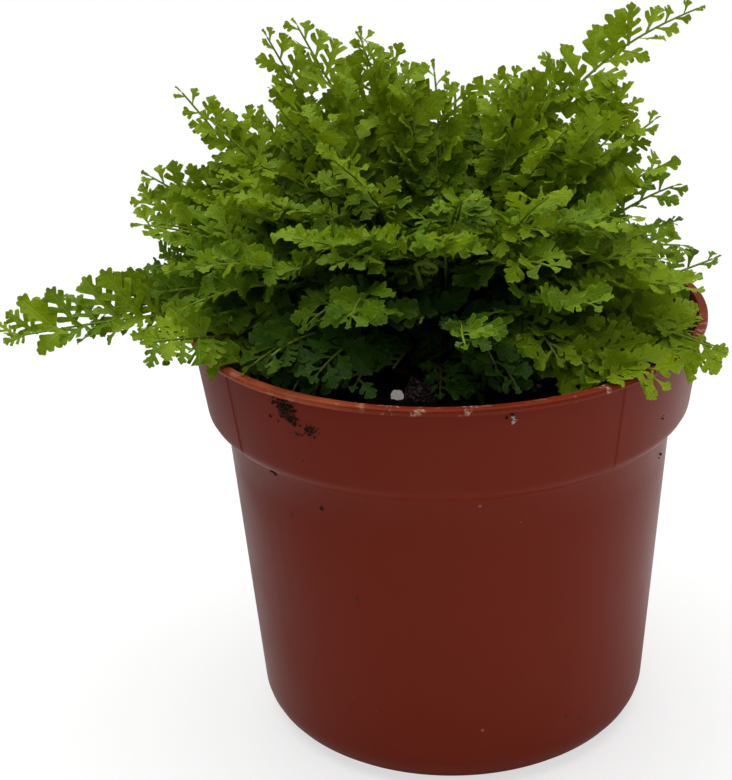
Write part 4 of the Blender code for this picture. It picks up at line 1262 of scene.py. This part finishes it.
# Small fronds with a place of their own: piece, the same numbers as a placed frond, and how much lighter or
# darker it is painted, as painted light.
# A frond's place in this list sets its wobble and its leaflets, so new ones go at the end.
extraFronds = {
    "shoulderOne": ("small_fronds_sides", 173, 8, 70, 54, 40, 0, 14, 11, 40, 0.1),
    "shoulderTwo": ("small_fronds_sides", 165, 9, 66, 55, 43, 0, 14, 11, 30, 0.1),
    "shoulderThree": ("small_fronds_sides", 169, 7, 64, 58, 48, 0, 14, 11, 30, 0.1),
    "shoulderFour": ("small_fronds_top", 155, 8, 63, 54, 48, 0, 14, 11, 20, 0.1),
    "shoulderFive": ("small_fronds_top", 157, 6, 65, 57, 55, 0, 14, 11, 20, 0.1),
    "shoulderSix": ("small_fronds_top", 147, 6, 69, 57, 57, 0, 14, 11, 20, 0.1),
    "leftSideOne": ("small_fronds_sides", 180, 11, 70, 44, 14, 0, 14, 12, 40, 0.1),
    "leftSideTwo": ("small_fronds_sides", 170, 11, 68, 39, 15, 0, 14, 12, 30, 0.1),
    "leftSideThree": ("small_fronds_sides", -170, 11, 64, 44, 14, 0, 14, 12, 40, 0.1),
    "leftSideFour": ("small_fronds_sides", 173, 9, 65, 41, 27, 0, 14, 12, 30, 0.1),
    "topRightOne": ("small_fronds_top", 57, 5, 59, 74, 68, 0, 14, 11, -10, 0.0),
    "topRightTwo": ("small_fronds_top", 39, 5, 61, 77, 69, 0, 14, 11, -20, 0.0),
    "topRightThree": ("small_fronds_top", 16, 5, 62, 79, 69, 0, 14, 11, -30, 0.0),
    "topRightFour": ("small_fronds_top", 23, 5, 65, 72, 64, 0, 14, 11, -30, 0.0),
    "topMidOne": ("small_fronds_top", 82, 4, 56, 74, 68, 0, 14, 11, 0, 0.0),
    "rightFront": ("small_fronds_front", -25, 12, 53, 41, -21, 0, 14, 14, -30, 0.45),
    "frontArch": ("small_fronds_front", -63, 10, 49, 54, -30, 0, 14, 11, -20, 0.45),
    "rimRight": ("small_fronds_front", -32, 16, 53, 24, -16, 0, 4, 13, -40, 0.35),
    "rimRightTwo": ("small_fronds_front", -46, 16, 53, 32, -24, 0, 4, 12, -20, 0.35),
    "leftRimOne": ("small_fronds_front", -128, 15, 52, 43, -17, 0, 8, 12, 30, -0.15),
    "leftRimTwo": ("small_fronds_front", -117, 15, 50, 42, -18, 0, 8, 11, 20, -0.2),
    "leftRimThree": ("small_fronds_front", -110, 16, 44, 38, -18, 0, 8, 10, 10, -0.2),
    "chipRight": ("small_fronds_front", -86, 16, 36, 34, -16, 0, 8, 9, 0, 0.0),
    "leftFillOne": ("small_fronds_sides", -175, 12, 61, 33, 3, 0, 14, 12, 40, 0.1),
    "leftFillTwo": ("small_fronds_sides", -168, 13, 58, 34, -2, 0, 14, 12, 40, 0.1),
    "leftFillThree": ("small_fronds_sides", -159, 11, 58, 43, 9, 0, 14, 12, 30, 0.0),
    "topFillOne": ("small_fronds_top", 166, 4, 64, 73, 67, 0, 14, 11, 10, 0.0),
    "rightHighOne": ("small_fronds_top", 6, 6, 66, 61, 47, 0, 14, 12, -30, 0.0),
    "rightHighTwo": ("small_fronds_top", -11, 7, 63, 66, 46, 0, 14, 12, -30, 0.0),
    "leftOfGrain": ("small_fronds_front", -104, 17, 43, 36, -16, 0, 8, 8, 0, 0.0),
    "rightRimFill": ("small_fronds_front", -76, 16, 45, 36, -16, 0, 8, 9, 0, 0.0),
    "rimRightThree": ("small_fronds_front", -34, 16, 49, 23, -25, 0, 4, 13, -30, 0.45),
    "rimRightFour": ("small_fronds_front", -52, 16, 48, 29, -23, 0, 4, 13, -20, 0.40),
    "rimRightFive": ("small_fronds_front", -24, 15, 53, 21, -13, 0, 4, 12, -40, 0.45),
    "topMidTwo": ("small_fronds_top", 135, 4, 61, 85, 81, 0, 14, 12, 0, 0.1),
    "rightHighThree": ("small_fronds_top", 9, 6, 67, 62, 50, 0, 14, 13, -30, 0.0),
    "rightHighFour": ("small_fronds_top", -15, 7, 62, 70, 50, 0, 14, 13, -30, 0.0),
    "leftLongFill": ("small_fronds_sides", -177, 13, 72, 22, -12, 0, 14, 13, 40, 0.25),
    "leftLongFillTwo": ("small_fronds_sides", 180, 12, 70, 24, -10, 0, 14, 13, 40, 0.25),
}


def makeFillers():
    chance = random.Random(fern["smallSeed"])
    index = fern["smallFrom"]
    for pieceName, zones in fillerPieces.items():
        store = startStore()
        for zone in zones:
            low, high, count, root, length, riseBase, riseTip, fold, size = fillers[zone]
            for k in range(count):
                heading = low + (high - low) * (k + chance.uniform(0.2, 0.8)) / count
                rise = chance.uniform(-12, 12)
                frond = (zone, heading, root + chance.uniform(-3, 3), length * chance.uniform(0.86, 1.08),
                         riseBase + rise, riseTip + rise + chance.uniform(-10, 10),
                         chance.uniform(-28, 28), fold, size, chance.uniform(-30, 30))
                growFrond(store, frond, index, fern["smallRows"])
                index += 1
        for k, (name, (ownPiece, *values, paintedLight)) in enumerate(extraFronds.items()):
            if ownPiece == pieceName:
                growFrond(store, (name, *values), fern["ownFrom"] + k, fern["ownRows"], paintedLight)
        finishFronds(pieceName, store)


makeFillers()
print("fronds ready")


# Croziers

croziers = {  # heading, root, height, lean, coil, heading that it rolls towards
    "crozier_front": (-100, 11, 37, 42, 2.6, -15),
    "crozier_back": (200, 2, 13, 6, 2.2, 200),
}
coil = {
    "thick": 0.62, "thinner": 0.55, "turns": 1.4, "steps": 22, "tighten": 0.72, "sides": 10,
    "scale": (0.9, 1.7), "scaleWidth": 0.22, "seed": 40,  # lengths of its pale scales, half their width
}


def makeCrozier(name, heading, root, height, lean, size, roll, seed):
    chance = random.Random(seed)
    outward = Matrix.Rotation(math.radians(heading), 3, "Z") @ Vector((1, 0, 0))
    towards = Matrix.Rotation(math.radians(roll), 3, "Z") @ Vector((1, 0, 0))
    tilt = math.radians(lean)
    way = outward * math.sin(tilt) + Vector((0, 0, math.cos(tilt)))
    side = way.cross(towards).normalized()
    foot = outward * root * mm + Vector((0, crown["y"] * mm, rootLevel))
    line = [foot + way * (height * mm * k / 6) for k in range(7)]
    ways = [way.copy() for _ in line]
    turn = turnFull * coil["turns"] / coil["steps"]
    for k in range(coil["steps"]):
        bend = size * mm * (1 - coil["tighten"] * (k + 1) / coil["steps"])
        way = Matrix.Rotation(turn, 3, side) @ way
        line.append(line[-1] + way * bend * turn)
        ways.append(way)
    sides, total = coil["sides"], len(line)
    points = []
    for k, (centre, way) in enumerate(zip(line, ways)):
        thick = coil["thick"] * mm * (1 - coil["thinner"] * k / total)
        upper = side.cross(way)
        for j in range(sides):
            a = turnFull * j / sides
            points.append(centre + side * (thick * math.cos(a)) + upper * (thick * math.sin(a)))
    faces = bandFaces(range(total), sides, flip=True)
    faces += [endFace(0, sides), endFace(total - 1, sides, flip=True)]
    tones = [0.75] * len(points)
    # pale scales and the first rolled leaflets, pressed to the stalk
    for k in range(2, total - 2):
        for s in (1, -1):
            for _ in range(2):
                foot, way = line[k], ways[k]
                upper = side.cross(way)
                length = chance.uniform(*coil["scale"]) * mm
                a = chance.uniform(-0.6, 0.6)
                out = side * s * math.cos(a) + upper * math.sin(a)
                begin = foot + out * 0.5 * coil["thick"] * mm
                tip = begin + out * length * 0.6 + way * length * 0.7
                wide = way * coil["scaleWidth"] * mm
                first = len(points)
                points += [begin - wide, begin + wide, tip]
                faces.append((first, first + 1, first + 2))
                tones += [0.9] * 3
    piece = addMesh("rolled_" + name, points, faces, stemFinish, name)
    addNumbers(piece, "tone", tones)


for k, (name, values) in enumerate(croziers.items()):
    makeCrozier(name, *values, coil["seed"] + k)
print("croziers ready")


# Bark and grains lying on the mix

chips = {  # x, y, length, width, height, turn
    "bark_chip_front": (-5.9, -28.2, 7.2, 6.6, 4.8, 8),
    "bark_chip_side": (43, -18, 9, 5, 3, 70),
}
grains = {  # x, y, radius, finish
    "mineral_grain_front": (-11, -29.2, 1.25, "brightGrain"),
    "mineral_grain_left": (-34, -30, 1.3, "whiteGrain"),
    "mineral_grain_right": (36, -27, 1.4, "whiteGrain"),
}
chipShape = {
    "outline": ((-0.5, -0.3), (-0.1, -0.5), (0.45, -0.35), (0.5, 0.2), (0.1, 0.5), (-0.42, 0.3)),
    "levels": ((0, 1.0), (0.3, 1.0), (0.62, 0.93), (0.9, 0.74), (1, 0.6)),  # share of height, of the outline
    "tilt": 0.35, "grain": 0.28, "lumps": 0.22,
}


def seatHeight(x, y, radius):
    ring = [(0, 0)] + [(math.cos(a), math.sin(a)) for a in [math.radians(45 * k) for k in range(8)]]
    return max(mixHeight(x + radius * c, y + radius * s) for c, s in ring) + gap


def takeMesh(built):
    built.verts.index_update()
    points = [v.co.copy() for v in built.verts]
    faces = [tuple(v.index for v in f.verts) for f in built.faces]
    built.free()
    return points, faces


def makeChip(name, x, y, length, width, height, turn):
    x, y, length, width, height = inMetres((x, y, length, width, height))
    base = seatHeight(x, y, length / 2)
    built = bmesh.new()
    rings = []
    for level, shrink in chipShape["levels"]:
        ring = []
        for u, v in chipShape["outline"]:
            lift = level * height * (1 - chipShape["tilt"] * u * level)
            ring.append(built.verts.new((u * length * shrink, v * width * shrink, lift)))
        rings.append(ring)
    for a, b in zip(rings, rings[1:]):
        for k in range(len(a)):
            n = (k + 1) % len(a)
            built.faces.new((a[k], a[n], b[n], b[k]))
    built.faces.new(reversed(rings[0]))
    built.faces.new(rings[-1])
    bmesh.ops.subdivide_edges(built, edges=built.edges[:], cuts=5, use_grid_fill=True)
    bmesh.ops.triangulate(built, faces=[f for f in built.faces if len(f.verts) > 4])
    built.normal_update()
    for vertex in built.verts:
        p = vertex.co
        along = noise.noise(Vector((p.x * 120, p.y * 900, p.z * 900)))
        lump = noise.noise(p * 420)
        vertex.co = p + vertex.normal * (chipShape["grain"] * along + chipShape["lumps"] * lump) * mm
    built.transform(Matrix.Translation((x, y, base)) @ Matrix.Rotation(math.radians(turn), 4, "Z"))
    points, faces = takeMesh(built)
    addMesh("split_" + name, points, faces, earth["darkBark"], name, 50)


def makeGrain(name, x, y, radius, finish):
    x, y, radius = inMetres((x, y, radius))
    base = seatHeight(x, y, radius)
    built = bmesh.new()
    bmesh.ops.create_icosphere(built, subdivisions=3, radius=radius)
    for vertex in built.verts:
        p = vertex.co
        size = 1.08 + 0.42 * noise.noise(p * 750 + Vector((x, y, 0)) * 400) + 0.16 * noise.noise(p * 2600)
        vertex.co = p * size
        vertex.co.z = max(vertex.co.z * 0.8, -0.6 * radius)
        vertex.co += Vector((x, y, base + 0.6 * radius))
    points, faces = takeMesh(built)
    addMesh("rough_" + name, points, faces, earth[finish], name)


for name, values in chips.items():
    makeChip(name, *values)
for name, values in grains.items():
    makeGrain(name, *values)
print("bark and grains ready")


# Dirt stuck to the outside of the pot

soil = {  # around the pot in degrees, height, spread across, spread up, how many crumbs, largest
    "clump": (-125.6, 97.2, 1.25, 1.5, 130, 0.46),
    "clumpFoot": (-123.6, 95.2, 0.8, 0.7, 26, 0.36),
    "smudge": (-119.6, 93.4, 0.9, 0.7, 44, 0.32),
    "smear": (-123.0, 91.7, 1.7, 0.22, 16, 0.22),
    "fleckOne": (-130.3, 94.3, 0.3, 0.3, 5, 0.26),
    "fleckTwo": (-123.1, 84.9, 0.3, 0.3, 3, 0.18),
    "fleckThree": (-137.3, 76.6, 0.45, 0.45, 12, 0.34),
    "fleckFour": (-122.6, 71.8, 0.5, 0.3, 7, 0.26),
    "rightCollar": (-35.4, 87.0, 0.3, 0.3, 4, 0.26),
    "rightBody": (-21.9, 71.6, 0.4, 0.3, 5, 0.26),
    "underRim": (-77.2, 99.2, 0.5, 0.3, 9, 0.28),
}
grit = {"stuckGrain": (-76.8, 98.0, 0.30, 0.55, 11, 0.42), "paleSpeck": (-72.9, 70.6, 0.1, 0.1, 2, 0.20)}
dirtSeed = 77


def potRadius(height, around):
    # Outside of the pot at a height in mm, sunk where the front panel is
    foot, top = pot["collarFootHeight"] + pot["collarEnd"], pot["height"] - pot["collarStart"]
    if height >= foot:
        share = min(1, (height - foot) / (top - foot))
        radius = pot["collarFoot"] + (pot["collarTop"] - pot["collarFoot"]) * share
        return radius - (pot["panelDepth"] if pot["panelFrom"] < around < pot["panelTo"] else 0)
    low, high = pot["corner"], pot["collarFootHeight"] - pot["bodyStart"]
    if height >= high:
        return pot["bodyTop"] + (pot["collarFoot"] - pot["bodyTop"]) * (height - high) / (foot - high)
    return pot["base"] + (pot["bodyTop"] - pot["base"]) * max(0, (height - low) / (high - low))


def crumbSpots(places, chance):
    spots = []
    for around, height, wide, tall, count, largest in places:
        for _ in range(count):
            z = height + chance.gauss(0, tall)
            radius = potRadius(z, around)
            a = math.radians(around) + chance.gauss(0, wide) / radius
            size = chance.uniform(0.3, 1) * largest
            radius += 0.15 * size
            spots.append((radius * mm * math.cos(a), radius * mm * math.sin(a), z * mm, size * mm, 1.3))
    return spots


def makeDirt():
    chance = random.Random(dirtSeed)
    addLumps("driedDirt", earth["driedSoil"], crumbSpots(soil.values(), chance), chance)
    addLumps("stuckGrit", earth["whiteGrain"], crumbSpots(grit.values(), chance), chance)


makeDirt()
print("dirt ready")


# Floor, light and camera

stage = {
    "floor": (0.90, 0.90, 0.89), "floorPatch": (0.84, 0.84, 0.84), "leftFloor": (0.42, 0.41, 0.41),
    "backdrop": (1.0, 1.0, 1.0),
    "leftFrom": (-0.02, -0.25),  # where the darker left of the floor starts and where it is full, in metres
    "world": 0.40, "frontShare": 0.25, "leftShare": 0.04,  # the world's light, its shares in front and left
    "frontTo": (-0.95, 0.1), "leftTo": (-0.8, 0.35),  # between these directions, from -1 to 1
    # away from the pot in metres: where the floor starts to fade and where it has faded, and by how much
    "fade": (0.1, 0.7, 0.65, 1.0),
}
panels = {  # place, target, size, power
    "topPanel": ((-0.2, 0.2, 1.6), (0, 0, 0.1), (2.2, 2.2), 45.0),
    "frontPanel": ((-0.15, -1.5, 1.15), (0, 0, 0.12), (1.2, 1.0), 4.0),
    "sidePanel": ((1.1, 0.1, 0.45), (0, 0, 0.1), (0.8, 0.6), 1.5),
}
view = {  # fitted to the pot's outline in the photograph
    "place": (0, -0.40228, 0.25234), "sensor": 36, "lens": 85.27,
    "right": (0.99883628, 0.03261714, -0.03552743), "up": (0.01987211, 0.39286802, 0.91938013),
    "forward": (-0.04394515, 0.91901623, -0.39176267),
}


def makeFloorFinish():
    material, nodes, links, shader = startMaterial("paleFloor")
    place = nodes.new("ShaderNodeTexCoord").outputs["Object"]
    seen = nodes.new("ShaderNodeLightPath").outputs["Is Camera Ray"]
    tone = rangeNode(nodes, links, noiseNode(nodes, links, place, 3.0, 2), 0.3, 0.7, 0.0, 0.05)
    white = mixNode(nodes, links, tone, stage["floor"], stage["floorPatch"])
    # On the pot's left the floor throws back less light, which the camera itself doesn't see
    left = rangeNode(nodes, links, separateNode(nodes, links, place)[0], *stage["leftFrom"])
    left = timesNode(nodes, links, left, mathNode(nodes, links, "SUBTRACT", 1.0, seen))
    links.new(mixNode(nodes, links, left, white, stage["leftFloor"]), shader.inputs["Base Color"])
    shader.inputs["Roughness"].default_value = 0.75
    # The floor fades into the backdrop, wholly when far from the pot, for the camera only
    away = nodes.new("ShaderNodeVectorMath")
    away.operation = "LENGTH"
    links.new(place, away.inputs[0])
    fade = timesNode(nodes, links, rangeNode(nodes, links, away.outputs["Value"], *stage["fade"]), seen)
    plain = nodes.new("ShaderNodeEmission")
    plain.inputs["Color"].default_value = (*stage["backdrop"], 1)
    both = nodes.new("ShaderNodeMixShader")
    links.new(fade, both.inputs[0])
    links.new(shader.outputs[0], both.inputs[1])
    links.new(plain.outputs[0], both.inputs[2])
    links.new(both.outputs[0], nodes["Material Output"].inputs["Surface"])
    return material


def makeFloor():
    mesh = bpy.data.meshes.new("paleFloor")
    mesh.from_pydata([(-6, -6, 0), (6, -6, 0), (6, 6, 0), (-6, 6, 0)], [], [(0, 1, 2, 3)])
    floor = bpy.data.objects.new("paleFloor", mesh)
    bpy.context.scene.collection.objects.link(floor)
    mesh.materials.append(makeFloorFinish())


def makeWorld():
    world = bpy.data.worlds.new("studio")
    bpy.context.scene.world = world
    world.use_nodes = True
    nodes, links = world.node_tree.nodes, world.node_tree.links
    x, y, _ = separateNode(nodes, links, nodes.new("ShaderNodeTexCoord").outputs["Generated"])
    # The sides towards -Y and -X are dimmer than the back, the right and the top
    power = stage["world"]
    back = rangeNode(nodes, links, y, *stage["frontTo"], stage["frontShare"] * power, power)
    right = rangeNode(nodes, links, x, *stage["leftTo"], stage["leftShare"], 1.0)
    back = timesNode(nodes, links, back, right)
    seen = nodes.new("ShaderNodeLightPath").outputs["Is Camera Ray"]
    links.new(mixNode(nodes, links, seen, back, stage["backdrop"]), nodes["Background"].inputs[0])


def addPanel(name, place, target, size, power):
    light = bpy.data.lights.new(name, "AREA")
    light.shape = "RECTANGLE"
    light.size, light.size_y = size
    light.energy = power
    lamp = bpy.data.objects.new(name, light)
    lamp.location = place
    lamp.rotation_euler = (Vector(target) - Vector(place)).to_track_quat("-Z", "Y").to_euler()
    bpy.context.scene.collection.objects.link(lamp)


def makeCamera():
    data = bpy.data.cameras.new("photoView")
    data.sensor_width = view["sensor"]
    data.lens = view["lens"]
    data.clip_start, data.clip_end = 0.01, 50
    camera = bpy.data.objects.new("photoView", data)
    turned = Matrix((view["right"], view["up"], -Vector(view["forward"]))).transposed().to_4x4()
    camera.matrix_world = Matrix.Translation(view["place"]) @ turned
    bpy.context.scene.collection.objects.link(camera)
    bpy.context.scene.camera = camera


makeFloor()
makeWorld()
for name, values in panels.items():
    addPanel(name, *values)
makeCamera()
bpy.context.scene.view_settings.view_transform = "Standard"
print("stage ready")
